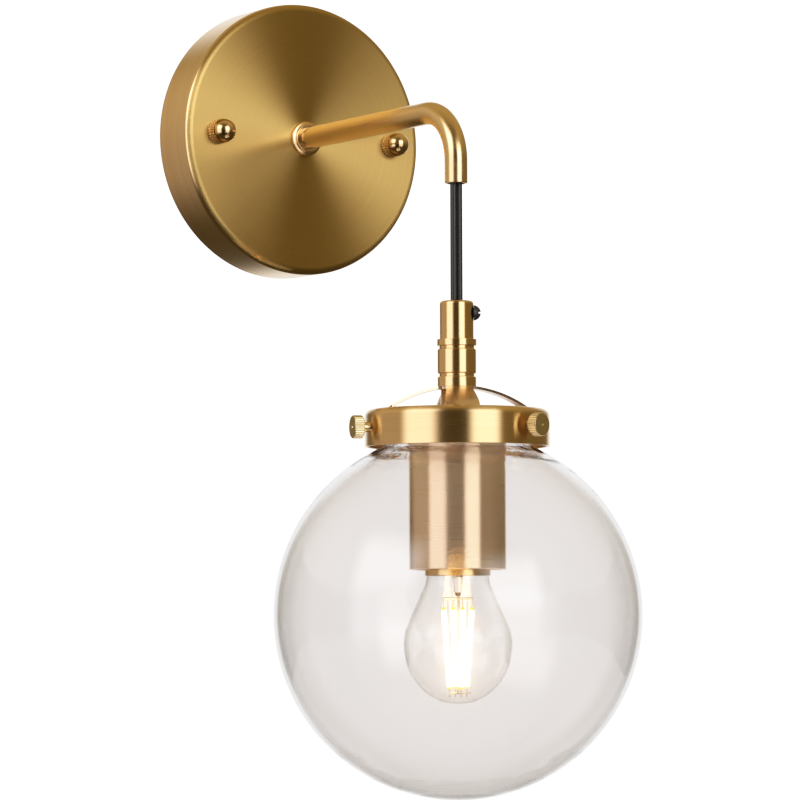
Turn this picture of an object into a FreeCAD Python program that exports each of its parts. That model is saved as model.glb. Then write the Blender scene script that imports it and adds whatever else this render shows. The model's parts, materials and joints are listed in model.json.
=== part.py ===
"""Globe wall sconce: a brass canopy and swept arm, with a clear glass globe that hangs from the arm on a short cord.

Frame: millimetres, +Z up, the wall is the plane Y = 0 and the room lies towards -Y. The origin is the centre of the
canopy's back rim. The arm runs along -Y at Z = 0 and turns down; the hanging head has the vertical axis Y = -arm_reach.
"""

import FreeCAD, Part
import math
import os

import Sketcher

V = FreeCAD.Vector
Z_AXIS = V(0, 0, 1)

SIZES = {
    # canopy and what holds it to the wall
    "canopy_radius": 59.5, "canopy_depth": 24.0, "canopy_wall": 1.2, "canopy_edge_radius": 3.0,
    "bar_length": 104.0, "bar_width": 16.0, "bar_sheet": 1.6, "bar_corner": 5.0, "bar_center_radius": 5.5,
    "slot_spacing": 69.85, "slot_width": 4.8, "slot_length": 10.0,
    "stud_spacing": 88.9, "stud_radius": 2.0, "stud_reach": 6.5, "stud_nut_flats": 7.0, "stud_nut_height": 3.2,
    "ground_offset": 18.0, "ground_radius": 2.0, "ground_head_radius": 4.2, "ground_head_height": 2.6,
    # cap nuts
    "cap_radius": 5.25, "cap_knurl_length": 5.2, "cap_groove_place": 1.4, "cap_groove_width": 0.7,
    "cap_groove_depth": 0.5, "cap_neck_radius": 4.7, "cap_neck_length": 0.8, "cap_dome_radius": 5.0,
    "cap_dome_height": 4.6, "cap_knurls": 28, "cap_bore_depth": 7.4,
    # arm
    "tube_radius": 4.75, "tube_wall": 1.0, "arm_reach": 142.0, "bend_radius": 22.0, "arm_drop": 31.5,
    "tube_inlet": 7.5, "mouth_chamfer": 0.4,
    "collar_radius": 7.5, "collar_thickness": 3.0, "collar_band": 1.7, "collar_step_radius": 6.2,
    "collar_step": 0.6, "washer_radius": 8.5, "washer_thickness": 0.8, "nut_flats": 14.0, "nut_height": 4.0,
    # cord
    "core_radius": 1.4, "core_offset": 1.35, "cord_length": 48.4, "cord_tuck": 1.0, "cord_top_gap": 1.2,
    "cord_low_gap": 0.8, "cord_turn_radius": 4.6, "cord_tail": 18.0,
    "retainer_radius": 6.0, "retainer_length": 3.6,
    "block_width": 17.0, "block_depth": 9.0, "block_height": 15.0, "block_entry": 5.0, "block_screw_pitch": 8.0,
    "block_screw_radius": 1.8, "block_screw_depth": 2.0,
    # grip and turned stack
    "grip_radius": 7.0, "grip_length": 15.8, "grip_edge_radius": 1.3, "cord_bore_radius": 3.4,
    "cord_mouth_chamfer": 0.5, "nipple_radius": 5.0, "nipple_wall": 1.0, "nipple_entry": 6.0,
    "set_screw_drop": 4.9, "set_screw_yaw": 326.0, "set_screw_radius": 2.0, "set_head_radius": 3.2,
    "set_head_height": 2.9, "set_slot_width": 0.8, "set_slot_depth": 1.0,
    "flange_radius": 8.15, "flange_height": 2.7, "groove_radius": 7.25, "groove_height": 1.2,
    "sleeve_radius": 8.0, "sleeve_height": 10.3, "sleeve_chamfer": 0.7, "spigot_height": 1.1,
    "clamp_height": 4.2, "clamp_chamfer": 0.5,
    # arched spider, gallery ring and its screws
    "spider_sheet": 1.1, "spider_arch_radius": 48.8, "arm_root_width": 8.8, "arm_tip_width": 14.0,
    "arm_root_place": 8.0, "arm_flare_place": 27.0, "arm_end_width": 11.0, "hub_radius": 7.8, "fitter_yaw": 15.5,
    "gallery_radius": 37.9, "gallery_height": 15.3, "gallery_wall": 1.2, "gallery_drop": 9.3,
    "gallery_shoulder": 3.0, "gallery_opening": 33.0,
    "screw_radius": 2.0, "screw_head_radius": 4.8, "screw_head_length": 4.1, "screw_standoff": 3.05,
    "screw_chamfer": 0.35, "screw_dimple_radius": 0.55, "screw_dimple_depth": 0.4, "screw_knurls": 30,
    "boss_radius": 2.65, "boss_length": 1.5, "knurl_depth": 0.22,
    # neck sleeve, cup and lamp socket
    "neck_radius": 6.65, "neck_length": 13.7, "cup_radius": 20.0, "cup_height": 59.8, "cup_wall": 1.0,
    "cup_edge_radius": 3.0, "inner_washer_radius": 9.0, "inner_washer": 1.0,
    "socket_radius": 17.0, "socket_neck_radius": 9.0, "socket_neck_height": 7.0, "socket_shoulder": 4.0,
    "socket_wall": 3.0, "socket_chamber": 12.4, "socket_deck": 3.0, "socket_recess": 2.8,
    "shell_wall": 0.5, "contact_radius": 4.0, "contact_height": 2.2, "rivet_radius": 2.2,
    "terminal_place": 9.0, "terminal_radius": 1.6, "terminal_height": 3.0,
    # globe
    "globe_radius": 75.2, "globe_wall": 2.0, "globe_neck_height": 7.5, "globe_neck_radius": 29.75,
    "globe_lip_radius": 31.5, "globe_lip_height": 2.0, "globe_fillet": 3.0,
    # bulb
    "bulb_radius": 22.4, "bulb_center_drop": 57.2, "bulb_cone_angle": 20.5, "bulb_neck_radius": 12.9,
    "bulb_wall": 0.8, "cap_shell_radius": 13.1, "cap_shell_wall": 0.5,
    "cap_skirt_height": 4.5, "cap_length": 26.9, "cap_cone_height": 2.5, "insulator_height": 1.7,
    "thread_pitch": 3.63, "thread_depth": 0.7, "tip_radius": 4.8, "tip_small_radius": 3.0,
    "stem_radius": 1.8, "stem_flare_height": 3.0, "stem_length": 12.0,
    "filament_radius": 0.95, "filament_length": 33.4, "filament_top_ring": 6.1, "filament_low_ring": 3.7,
    "filament_drop": 40.0, "filament_turn": 74.5, "wire_radius": 0.3, "pin_radius": 0.25, "post_radius": 0.5,
    "wire_rise": 3.5, "cross_drop": 1.7, "cross_reach": 5.4, "pin_length": 1.6,
    # clearances
    "fit": 0.05, "hole_clearance": 0.2, "running_gap": 0.1, "rest_gap": 0.3,
}


class Size:
    """A size with its number and the sheet formula that gives it, so that a bound length follows the sheet."""

    def __init__(self, text, value):
        self.text = text
        self.value = value

    def join(self, sign, other, value):
        text = other.text if isinstance(other, Size) else repr(float(other))
        return Size("(%s %s %s)" % (self.text, sign, text), value)

    def __add__(self, other):
        return self.join("+", other, self.value + plain(other))

    def __sub__(self, other):
        return self.join("-", other, self.value - plain(other))

    def __mul__(self, other):
        return self.join("*", other, self.value * plain(other))

    def __truediv__(self, other):
        return self.join("/", other, self.value / plain(other))

    def __neg__(self):
        return Size("(-1 * %s)" % self.text, -self.value)


def plain(size):
    """The number of a size, or of a plain number."""
    return size.value if isinstance(size, Size) else float(size)


def near(value, size):
    return abs(plain(value) - plain(size)) < 1e-4


def root(size):
    return Size("sqrt(%s)" % size.text, math.sqrt(size.value))


def sine(size):
    return Size("sin(%s)" % size.text, math.sin(math.radians(size.value)))


def cosine(size):
    return Size("cos(%s)" % size.text, math.cos(math.radians(size.value)))


def make_sheet(document):
    """Writes the driving dimensions to the sheet, one row each, and gives them back by name."""
    sheet = document.addObject("Spreadsheet::Sheet", "Sizes")
    for row, (name, value) in enumerate(SIZES.items(), 1):
        sheet.set("A%d" % row, name)
        sheet.set("B%d" % row, "%s" % value)
        sheet.setAlias("B%d" % row, name)
    document.recompute()
    return {name: Size("Sizes.%s" % name, float(sheet.get(name))) for name in SIZES}


doc = FreeCAD.newDocument("globe_wall_sconce")
s = make_sheet(doc)
finished = {}

# Levels and places that several pieces share, worked out from the driving dimensions.
CANOPY_FACE = -s["canopy_depth"]
CANOPY_INNER_FACE = CANOPY_FACE + s["canopy_wall"]
TUBE_INNER = s["tube_radius"] - s["tube_wall"]
TUBE_END = CANOPY_INNER_FACE + s["tube_inlet"]
MOUTH = -s["arm_drop"]
GRIP_TOP = MOUTH - s["cord_length"]
GRIP_BOTTOM = GRIP_TOP - s["grip_length"]
SLEEVE_BOTTOM = GRIP_BOTTOM - s["flange_height"] - s["groove_height"] - s["sleeve_height"] - s["spigot_height"]
CLAMP_BOTTOM = SLEEVE_BOTTOM - s["clamp_height"]
HUB_BOTTOM = CLAMP_BOTTOM - s["spider_sheet"]
CUP_TOP = HUB_BOTTOM - s["neck_length"]
CUP_RIM = CUP_TOP - s["cup_height"]
CUP_INNER_TOP = CUP_TOP - s["cup_wall"]
NUT_BOTTOM = CUP_INNER_TOP - s["inner_washer"] - s["nut_height"]
SOCKET_TOP = NUT_BOTTOM - s["rest_gap"]
SOCKET_NECK_BOTTOM = SOCKET_TOP - s["socket_neck_height"]
DECK_TOP = SOCKET_NECK_BOTTOM - s["socket_shoulder"] - s["socket_chamber"]
DECK_BOTTOM = DECK_TOP - s["socket_deck"]
CONTACT_TIP = DECK_BOTTOM - s["contact_height"]
SOCKET_MOUTH = CUP_RIM + s["socket_recess"]
BULB_TIP = CONTACT_TIP - s["rest_gap"]
BULB_CENTER = BULB_TIP - s["bulb_center_drop"]
CAP_BOTTOM = BULB_TIP - s["cap_length"]
GALLERY_TOP = CLAMP_BOTTOM - s["gallery_drop"]
GALLERY_BOTTOM = GALLERY_TOP - s["gallery_height"]
GALLERY_INNER = s["gallery_radius"] - s["gallery_wall"]
SCREW_LEVEL = GALLERY_TOP - s["gallery_height"] / 2
LIP_BOTTOM = SCREW_LEVEL + s["screw_radius"] + s["rest_gap"]
GLOBE_TURN = LIP_BOTTOM - s["globe_neck_height"]
NIPPLE_BORE = s["nipple_radius"] + s["fit"]
STUD_PLACE = s["stud_spacing"] / 2
FRONT = 270.0
FIRST_SCREW_YAW = s["fitter_yaw"] + FRONT
FULL_TURN = 360.0
THIRD_TURN = FULL_TURN / 3


# ---------------------------------------------------------------- tools for bodies, sketches and features

def new_body(label, x=None, y=None, z=None, yaw=None):
    """A body with its own label, moved by bound sizes and turned about Z by a bound angle."""
    body = doc.addObject("PartDesign::Body", label)
    body.Label = label
    body.Placement = FreeCAD.Placement(V(0, 0, 0), FreeCAD.Rotation(Z_AXIS, 0))
    for letter, size in (("x", x), ("y", y), ("z", z)):
        if size is not None:
            body.setExpression("Placement.Base.%s" % letter, size.text)
    if yaw is not None:
        body.Placement = FreeCAD.Placement(V(0, 0, 0), FreeCAD.Rotation(Z_AXIS, yaw.value))
        body.setExpression("Placement.Rotation.Angle", yaw.text)
    finished[label] = body
    return body


def head_body(label, yaw=None):
    """A body on the hanging head's vertical axis."""
    return new_body(label, y=-s["arm_reach"], yaw=yaw)


def origin_part(body, role):
    return next(f for f in body.Origin.OriginFeatures if f.Role == role)


def new_sketch(body, plane, offset=None):
    """A sketch on one of the body's origin planes, moved along the plane's normal by a bound offset."""
    sketch = body.newObject("Sketcher::SketchObject", body.Label + "_sketch")
    sketch.AttachmentSupport = [(origin_part(body, plane), "")]
    sketch.MapMode = "FlatFace"
    if offset is not None:
        sketch.setExpression("AttachmentOffset.Base.z", offset.text)
    return sketch


def pin(sketch, edge, point, across, up):
    """Ties one point of a sketch edge to sizes measured from the sketch's origin. None leaves a coordinate free."""
    for kind, line, size in (("DistanceX", -2, across), ("DistanceY", -1, up)):
        if size is None:
            continue
        if isinstance(size, Size) and abs(size.value) > 1e-9:
            index = sketch.addConstraint(Sketcher.Constraint(kind, -1, 1, edge, point, size.value))
            sketch.setExpression("Constraints[%d]" % index, size.text)
        else:
            sketch.addConstraint(Sketcher.Constraint("PointOnObject", edge, point, line))


def draw(sketch, start, *steps, closed=True):
    """Draws an outline from a start point. A step is (x, y) for a line, or (x, y, cx, cy, turn, free) for an arc
    about (cx, cy), with turn 1 for anticlockwise. free names the coordinate that the arc itself settles: one of its
    end's, or one of its centre's where the arc closes the outline. A closed outline ends where it starts."""
    steps = list(steps)
    home = near(steps[-1][0], start[0]) and near(steps[-1][1], start[1])
    if closed and not home:
        steps.append(start)
    first, here, last = None, start, None
    for number, step in enumerate(steps, 1):
        a, b = V(plain(here[0]), plain(here[1]), 0), V(plain(step[0]), plain(step[1]), 0)
        closing = closed and number == len(steps)
        if len(step) == 2:
            edge, tail, head = sketch.addGeometry(Part.LineSegment(a, b), False), 1, 2
            free = ""
        else:
            center, turn, free = V(plain(step[2]), plain(step[3]), 0), step[4], step[5]
            angles = [math.atan2(p.y - center.y, p.x - center.x) for p in (a, b)]
            if turn < 0:
                angles.reverse()
            circle = Part.Circle(center, Z_AXIS, (a - center).Length)
            edge = sketch.addGeometry(Part.ArcOfCircle(circle, angles[0], angles[1]), False)
            tail, head = (1, 2) if turn > 0 else (2, 1)
            pin(sketch, edge, 3, None if closing and free == "x" else step[2],
                None if closing and free == "y" else step[3])
        if last is None:
            first = (edge, tail)
            pin(sketch, edge, tail, start[0], start[1])
        else:
            sketch.addConstraint(Sketcher.Constraint("Coincident", last[0], last[1], edge, tail))
        if closing:
            sketch.addConstraint(Sketcher.Constraint("Coincident", edge, head, first[0], first[1]))
        else:
            pin(sketch, edge, head, None if free == "x" else step[0], None if free == "y" else step[1])
        last, here = (edge, head), step
    return sketch


def add_circle(sketch, radius, across=0, up=0):
    """A circle of a bound radius about a bound centre."""
    center = V(plain(across), plain(up), 0)
    edge = sketch.addGeometry(Part.Circle(center, Z_AXIS, radius.value), False)
    pin(sketch, edge, 3, across, up)
    index = sketch.addConstraint(Sketcher.Constraint("Radius", edge, radius.value))
    sketch.setExpression("Constraints[%d]" % index, radius.text)
    return sketch


def revolve(body, sketch, axis="V_Axis", cut=False):
    """A full turn of a sketch about its own upright or level axis."""
    kind = "PartDesign::Groove" if cut else "PartDesign::Revolution"
    feature = body.newObject(kind, body.Label + "_turned")
    feature.Profile = sketch
    feature.ReferenceAxis = (sketch, [axis])
    feature.Angle = FULL_TURN
    return feature


def pad(body, sketch, length, both=False, back=False):
    """Material of a bound thickness on a sketch, on one side or centred on it."""
    feature = body.newObject("PartDesign::Pad", body.Label + "_pad")
    feature.Profile = sketch
    feature.setExpression("Length", length.text)
    feature.SideType = "Symmetric" if both else "One side"
    feature.Reversed = back
    return feature


def pocket(body, sketch, length=None, both=False, back=False):
    """A cut of a bound depth, or through everything, checked to have taken material away."""
    doc.recompute()
    feature = body.newObject("PartDesign::Pocket", body.Label + "_cut")
    feature.Profile = sketch
    if length is None:
        feature.Type = "ThroughAll"
    else:
        feature.setExpression("Length", length.text)
    feature.SideType = "Symmetric" if both else "One side"
    feature.Reversed = back
    before = feature.BaseFeature.Shape.Volume
    doc.recompute()
    if feature.Shape.Volume > before - 1e-6:
        raise RuntimeError(body.Label + ": a cut took nothing away")
    return feature


def polar(body, feature, axis_role, count):
    """Repeats a feature round one of the body's origin axes."""
    pattern = body.newObject("PartDesign::PolarPattern", body.Label + "_pattern")
    pattern.Originals = [feature]
    pattern.Axis = (origin_part(body, axis_role), [""])
    pattern.Angle = FULL_TURN
    if isinstance(count, Size):
        pattern.setExpression("Occurrences", count.text)
    else:
        pattern.Occurrences = count
    body.Tip = pattern
    return pattern


def edges_where(feature, test):
    """Names of the feature's edges whose middle point passes a test."""
    names = []
    for number, edge in enumerate(feature.Shape.Edges, 1):
        middle = edge.valueAt((edge.FirstParameter + edge.LastParameter) / 2)
        if test(middle):
            names.append("Edge%d" % number)
    return names


def soften(body, feature, radius, test, chamfer=False):
    """A fillet or chamfer of a bound size on the edges that pass a test."""
    doc.recompute()
    names = edges_where(feature, test)
    if not names:
        raise RuntimeError(body.Label + ": no edge to round")
    kind = "PartDesign::Chamfer" if chamfer else "PartDesign::Fillet"
    dressing = body.newObject(kind, body.Label + "_edge")
    dressing.Base = (feature, names)
    dressing.setExpression("Size" if chamfer else "Radius", radius.text)
    return dressing


def ring_edge(radius, level, spin="z"):
    """A test for round edges of a radius about an axis through the origin, at a level along that axis."""
    def test(point):
        along, one, two = {"z": (point.z, point.x, point.y), "y": (point.y, point.x, point.z),
                           "x": (point.x, point.y, point.z)}[spin]
        return near(along, level) and near(math.hypot(one, two), radius)
    return test


def rectangle(sketch, left, right, low, high):
    return draw(sketch, (left, low), (right, low), (right, high), (left, high))


def hexagon(sketch, flats):
    """A hexagon across bound flats, two of them level."""
    corners = []
    for step in range(6):
        angle = math.radians(60 * step)
        across = flats * (math.cos(angle) / math.sqrt(3)) if step else flats / math.sqrt(3)
        corners.append((across, flats * (math.sin(angle) / math.sqrt(3)) if step % 3 else 0))
    return draw(sketch, corners[0], *corners[1:])


def hex_nut(body, plane, offset, flats, height, bore, back):
    """A plain hexagon nut: a padded hexagon with a bore."""
    sketch = hexagon(new_sketch(body, plane, offset), flats)
    add_circle(sketch, bore)
    return pad(body, sketch, height, back=back)


def turned(body, *points, axis="V_Axis", plane="XZ_Plane"):
    """A piece turned on the lathe from the corners of its half section."""
    return revolve(body, draw(new_sketch(body, plane), points[0], *points[1:]), axis)


def cord_section(sketch, center=0):
    """The outline of the flat twin cord: two round cores side by side that run into each other."""
    r, off = s["core_radius"], s["core_offset"]
    waist = root(r * r - off * off)
    low = center - waist if isinstance(center, Size) else -waist
    high = center + waist if isinstance(center, Size) else waist
    return draw(sketch, (0, low), (0, high, off, center, 1, "y"), (0, low, -off, center, 1, "y"))


# ---------------------------------------------------------------- wall side

def make_canopy():
    """Spun shell with a rolled front edge, an arm hole and two stud holes, open to the wall."""
    body = new_body("canopy")
    hole = s["tube_radius"] + s["hole_clearance"]
    inner = s["canopy_radius"] - s["canopy_wall"]
    shell = turned(body, (s["canopy_radius"], 0), (s["canopy_radius"], CANOPY_FACE), (hole, CANOPY_FACE),
                   (hole, CANOPY_INNER_FACE), (inner, CANOPY_INNER_FACE), (inner, 0), plane="XY_Plane")
    shell = soften(body, shell, s["canopy_edge_radius"], ring_edge(s["canopy_radius"], CANOPY_FACE, "y"))
    shell = soften(body, shell, s["canopy_edge_radius"] - s["canopy_wall"],
                   ring_edge(inner, CANOPY_INNER_FACE, "y"))
    sketch = new_sketch(body, "XZ_Plane")
    for side in (1, -1):
        add_circle(sketch, s["stud_radius"] + s["hole_clearance"], STUD_PLACE * side, 0)
    pocket(body, sketch, both=True)


def make_crossbar():
    """Steel wall strip with a centre hole, two box-screw slots, two stud holes and a ground-screw hole."""
    body = new_body("crossbar")
    end, side = s["bar_length"] / 2, s["bar_width"] / 2
    strip = pad(body, rectangle(new_sketch(body, "XZ_Plane"), -end, end, -side, side), s["bar_sheet"])
    strip = soften(body, strip, s["bar_corner"],
                   lambda p: near(abs(p.x), end) and near(abs(p.z), side))
    doc.recompute()
    sketch = add_circle(new_sketch(body, "XZ_Plane"), s["bar_center_radius"])
    add_circle(sketch, s["ground_radius"] + s["fit"], s["ground_offset"], 0)
    for hand in (1, -1):
        add_circle(sketch, s["stud_radius"] + s["fit"], STUD_PLACE * hand, 0)
    pocket(body, sketch, both=True)
    for hand in (1, -1):
        half = s["slot_width"] / 2
        reach = (s["slot_length"] - s["slot_width"]) / 2
        center = s["slot_spacing"] / 2 * hand
        slot = new_sketch(body, "XZ_Plane")
        draw(slot, (center - reach, -half), (center + reach, -half),
             (center + reach, half, center + reach, 0, 1, "y"), (center - reach, half),
             (center - reach, -half, center - reach, 0, 1, "y"))
        pocket(body, slot, both=True)


def make_studs():
    """Two threaded studs that carry the canopy, as one node."""
    body = new_body("canopy_studs")
    sketch = new_sketch(body, "XZ_Plane")
    for side in (1, -1):
        add_circle(sketch, s["stud_radius"], STUD_PLACE * side, 0)
    pad(body, sketch, s["canopy_depth"] + s["stud_reach"])


def make_stud_nuts():
    """Two hexagon nuts that lock the studs to the crossbar, as one node."""
    cutters = []
    for hand in (1, -1):
        nut = new_body("stud_nut_%s" % ("right" if hand > 0 else "left"), x=STUD_PLACE * hand)
        hex_nut(nut, "XZ_Plane", s["bar_sheet"], s["stud_nut_flats"], s["stud_nut_height"],
                s["stud_radius"] + s["fit"], False)
        finished.pop(nut.Label)
        cutters.append(nut)
    pair = doc.addObject("Part::Compound", "stud_nuts")
    pair.Label = "stud_nuts"
    pair.Links = cutters
    finished["stud_nuts"] = pair


def make_ground_screw():
    """Green ground screw in the crossbar, with a slotted round head."""
    body = new_body("ground_screw", x=s["ground_offset"])
    back, seat = -s["fit"], -s["bar_sheet"]
    head = seat - s["ground_head_height"]
    screw = turned(body, (0, back), (s["ground_radius"], back), (s["ground_radius"], seat),
                   (s["ground_head_radius"], seat), (s["ground_head_radius"], head), (0, head),
                   plane="XY_Plane")
    soften(body, screw, s["mouth_chamfer"], ring_edge(s["ground_head_radius"], head, "y"), chamfer=True)
    half = s["set_slot_width"] / 2
    slot = rectangle(new_sketch(body, "XZ_Plane", s["bar_sheet"] + s["ground_head_height"]),
                     -s["canopy_edge_radius"] * 2, s["canopy_edge_radius"] * 2, -half, half)
    pocket(body, slot, s["set_slot_depth"])


def make_cap_nut(label, side):
    """Knurled acorn nut: two knurled bands parted by a groove, a polished neck and a dome."""
    body = new_body(label, x=STUD_PLACE * side)
    face = CANOPY_FACE - s["rest_gap"]
    groove_top = face - s["cap_groove_place"]
    groove_low = groove_top - s["cap_groove_width"]
    knurl_end = face - s["cap_knurl_length"]
    neck_end = knurl_end - s["cap_neck_length"]
    bore, bore_end = s["stud_radius"] + s["running_gap"], face - s["cap_bore_depth"]
    sink = s["cap_radius"] - s["cap_groove_depth"]
    radius, height = s["cap_dome_radius"], s["cap_dome_height"]
    ball = (radius * radius + height * height) / (height * 2)
    sketch = new_sketch(body, "XY_Plane")
    draw(sketch, (bore, face), (s["cap_radius"], face), (s["cap_radius"], groove_top), (sink, groove_top),
         (sink, groove_low), (s["cap_radius"], groove_low), (s["cap_radius"], knurl_end),
         (s["cap_neck_radius"], knurl_end), (s["cap_neck_radius"], neck_end), (radius, neck_end),
         (0, neck_end - height, 0, neck_end - height + ball, -1, "y"), (0, bore_end), (bore, bore_end))
    turned_nut = revolve(body, sketch)
    doc.recompute()
    notch(body, "XZ_Plane", -(face + knurl_end) / 2, s["cap_radius"], s["cap_knurl_length"], "Y_Axis",
          s["cap_knurls"])
    return turned_nut


def notch(body, plane, offset, radius, length, axis, count):
    """One V-shaped knurl cut in a rim, repeated all round."""
    depth = s["knurl_depth"]
    sketch = draw(new_sketch(body, plane, offset), (-depth * 2, radius + depth), (0, radius - depth),
                  (depth * 2, radius + depth))
    cut = pocket(body, sketch, length, both=True)
    polar(body, cut, axis, count)


def arm_route(sketch, start, drop_end):
    """The line of the arm: level from the wall side, one round bend, then down."""
    bend, reach = s["bend_radius"], -s["arm_reach"]
    return draw(sketch, (start, 0), (reach + bend, 0), (reach, -bend, reach + bend, -bend, 1, "x"),
                (reach, drop_end), closed=False)


def sweep(body, profile, route, cut=False):
    """A section carried along a route."""
    kind = "PartDesign::SubtractivePipe" if cut else "PartDesign::AdditivePipe"
    feature = body.newObject(kind, body.Label + "_swept")
    feature.Profile = profile
    feature.Spine = (route, [])
    return feature


def make_arm_tube():
    """Bent brass tube, threaded behind the canopy, open at both ends."""
    body = new_body("arm_tube")
    route = arm_route(new_sketch(body, "YZ_Plane"), TUBE_END, MOUTH)
    profile = add_circle(new_sketch(body, "XZ_Plane", -TUBE_END), s["tube_radius"])
    add_circle(profile, TUBE_INNER)
    tube = sweep(body, profile, route)
    soften(body, tube, s["mouth_chamfer"],
           lambda p: near(p.z, MOUTH) and near(math.hypot(p.x, p.y + plain(s["arm_reach"])), s["tube_radius"]),
           chamfer=True)


def make_arm_collar():
    """Stepped ring that covers the arm's root on the canopy."""
    body = new_body("arm_collar")
    bore = s["tube_radius"] + s["fit"]
    band, front = CANOPY_FACE - s["collar_band"], CANOPY_FACE - s["collar_thickness"]
    turned(body, (bore, CANOPY_FACE), (s["collar_radius"], CANOPY_FACE), (s["collar_radius"], band),
           (s["collar_step_radius"], band - s["collar_step"]),
           (s["collar_step_radius"], front + s["collar_step"] / 2),
           (s["collar_step_radius"] - s["collar_step"], front), (bore, front), plane="XY_Plane")


def make_arm_fixing():
    """Washer and hexagon nut that pull the arm's root against the canopy."""
    washer = new_body("arm_washer")
    bore = s["tube_radius"] + s["fit"]
    sketch = add_circle(new_sketch(washer, "XZ_Plane", -CANOPY_INNER_FACE), s["washer_radius"])
    add_circle(sketch, bore)
    pad(washer, sketch, s["washer_thickness"], back=True)
    nut = new_body("arm_lock_nut")
    hex_nut(nut, "XZ_Plane", -CANOPY_INNER_FACE - s["washer_thickness"], s["nut_flats"], s["nut_height"],
            bore, True)


# ---------------------------------------------------------------- cord

CORD_TURN = TUBE_END + s["retainer_length"]
CORD_RISE = CORD_TURN + s["cord_turn_radius"]


def make_cord_in_arm():
    """The held stretch of the flat cord: from just above the arm's mouth, through the arm, up to the block."""
    body = new_body("cord_in_arm")
    bend, turn, reach = s["bend_radius"], s["cord_turn_radius"], -s["arm_reach"]
    low = MOUTH + s["cord_tuck"] + s["cord_top_gap"]
    route = draw(new_sketch(body, "YZ_Plane"), (reach, low), (reach, -bend),
                 (reach + bend, 0, reach + bend, -bend, -1, "y"), (CORD_TURN, 0),
                 (CORD_RISE, turn, CORD_TURN, turn, 1, "x"), (CORD_RISE, s["cord_tail"]), closed=False)
    profile = cord_section(new_sketch(body, "XY_Plane", low), reach)
    sweep(body, profile, route)


def make_cord_drop():
    """The free stretch of the cord between the arm's mouth and the grip, tucked into both."""
    body = head_body("cord_drop")
    top = MOUTH + s["cord_tuck"]
    pad(body, cord_section(new_sketch(body, "XY_Plane", top)), s["cord_length"] + s["cord_tuck"] * 2, back=True)


def make_cord_in_head():
    """The held stretch of the cord inside the grip, the threaded nipple and the lamp socket."""
    body = head_body("cord_in_head")
    top = GRIP_TOP - s["cord_tuck"] - s["cord_low_gap"]
    end = DECK_TOP + s["terminal_height"] + s["rest_gap"]
    pad(body, cord_section(new_sketch(body, "XY_Plane", top)), top - end, back=True)


def make_cord_retainer():
    """Nylon stop clamped on the cord behind the arm's threaded end, which carries the weight of the head."""
    body = new_body("cord_retainer")
    sketch = cord_section(new_sketch(body, "XZ_Plane", -TUBE_END))
    add_circle(sketch, s["retainer_radius"])
    pad(body, sketch, s["retainer_length"], back=True)


def make_terminal_block():
    """Two-pole terminal block on the cord's end in the canopy, and its two screws as one more node."""
    body = new_body("terminal_block", y=CORD_RISE)
    low = s["cord_tail"] - s["block_entry"]
    half, deep = s["block_width"] / 2, s["block_depth"] / 2
    block = pad(body, rectangle(new_sketch(body, "XY_Plane", low), -half, half, -deep, deep), s["block_height"])
    block = soften(body, block, s["mouth_chamfer"] * 2, lambda p: near(abs(p.x), half) and near(abs(p.y), deep))
    doc.recompute()
    pocket(body, cord_section(new_sketch(body, "XY_Plane", low)), s["block_entry"], back=True)
    seats = new_sketch(body, "XZ_Plane", deep)
    level = low + s["block_height"] - s["block_entry"] / 2
    for side in (1, -1):
        add_circle(seats, s["block_screw_radius"] + s["fit"], s["block_screw_pitch"] / 2 * side, level)
    pocket(body, seats, s["block_screw_depth"])
    screws = new_body("terminal_screws", y=CORD_RISE)
    sketch = new_sketch(screws, "XZ_Plane", deep)
    for side in (1, -1):
        add_circle(sketch, s["block_screw_radius"], s["block_screw_pitch"] / 2 * side, level)
    pad(screws, sketch, s["block_screw_depth"], back=True)


# ---------------------------------------------------------------- hanging head: grip and turned stack

def make_cord_grip():
    """Turned cord grip with a rounded top, a bore for the cord, a threaded socket and a cross hole."""
    body = head_body("cord_grip", yaw=s["set_screw_yaw"])
    step = GRIP_BOTTOM + s["nipple_entry"]
    cone = s["cord_mouth_chamfer"]
    grip = turned(body, (s["cord_bore_radius"], GRIP_TOP - cone), (s["cord_bore_radius"] + cone, GRIP_TOP),
                  (s["grip_radius"], GRIP_TOP), (s["grip_radius"], GRIP_BOTTOM), (NIPPLE_BORE, GRIP_BOTTOM),
                  (NIPPLE_BORE, step), (s["cord_bore_radius"], step))
    grip = soften(body, grip, s["grip_edge_radius"], ring_edge(s["grip_radius"], GRIP_TOP))
    hole = add_circle(new_sketch(body, "YZ_Plane"), s["set_screw_radius"] + s["fit"], 0,
                      GRIP_TOP - s["set_screw_drop"])
    pocket(body, hole, back=True)


def make_grip_screw():
    """Black nylon set screw with a domed head, whose tip bears on the cord."""
    body = new_body("grip_screw", y=-s["arm_reach"], z=GRIP_TOP - s["set_screw_drop"], yaw=s["set_screw_yaw"])
    tip = s["core_offset"] * cosine(s["set_screw_yaw"]) + s["core_radius"] + s["fit"]
    seat = s["grip_radius"] + s["fit"]
    top, radius = seat + s["set_head_height"], s["set_head_radius"]
    ball = (radius * radius + s["set_head_height"] * s["set_head_height"]) / (s["set_head_height"] * 2)
    sketch = new_sketch(body, "XZ_Plane")
    draw(sketch, (tip, 0), (top, 0), (seat, radius, top - ball, 0, 1, "y"), (seat, s["set_screw_radius"]),
         (tip, s["set_screw_radius"]))
    revolve(body, sketch, "H_Axis")
    doc.recompute()
    half = s["set_slot_width"] / 2
    slot = rectangle(new_sketch(body, "YZ_Plane", top), -radius, radius, -half, half)
    pocket(body, slot, s["set_slot_depth"])


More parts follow.
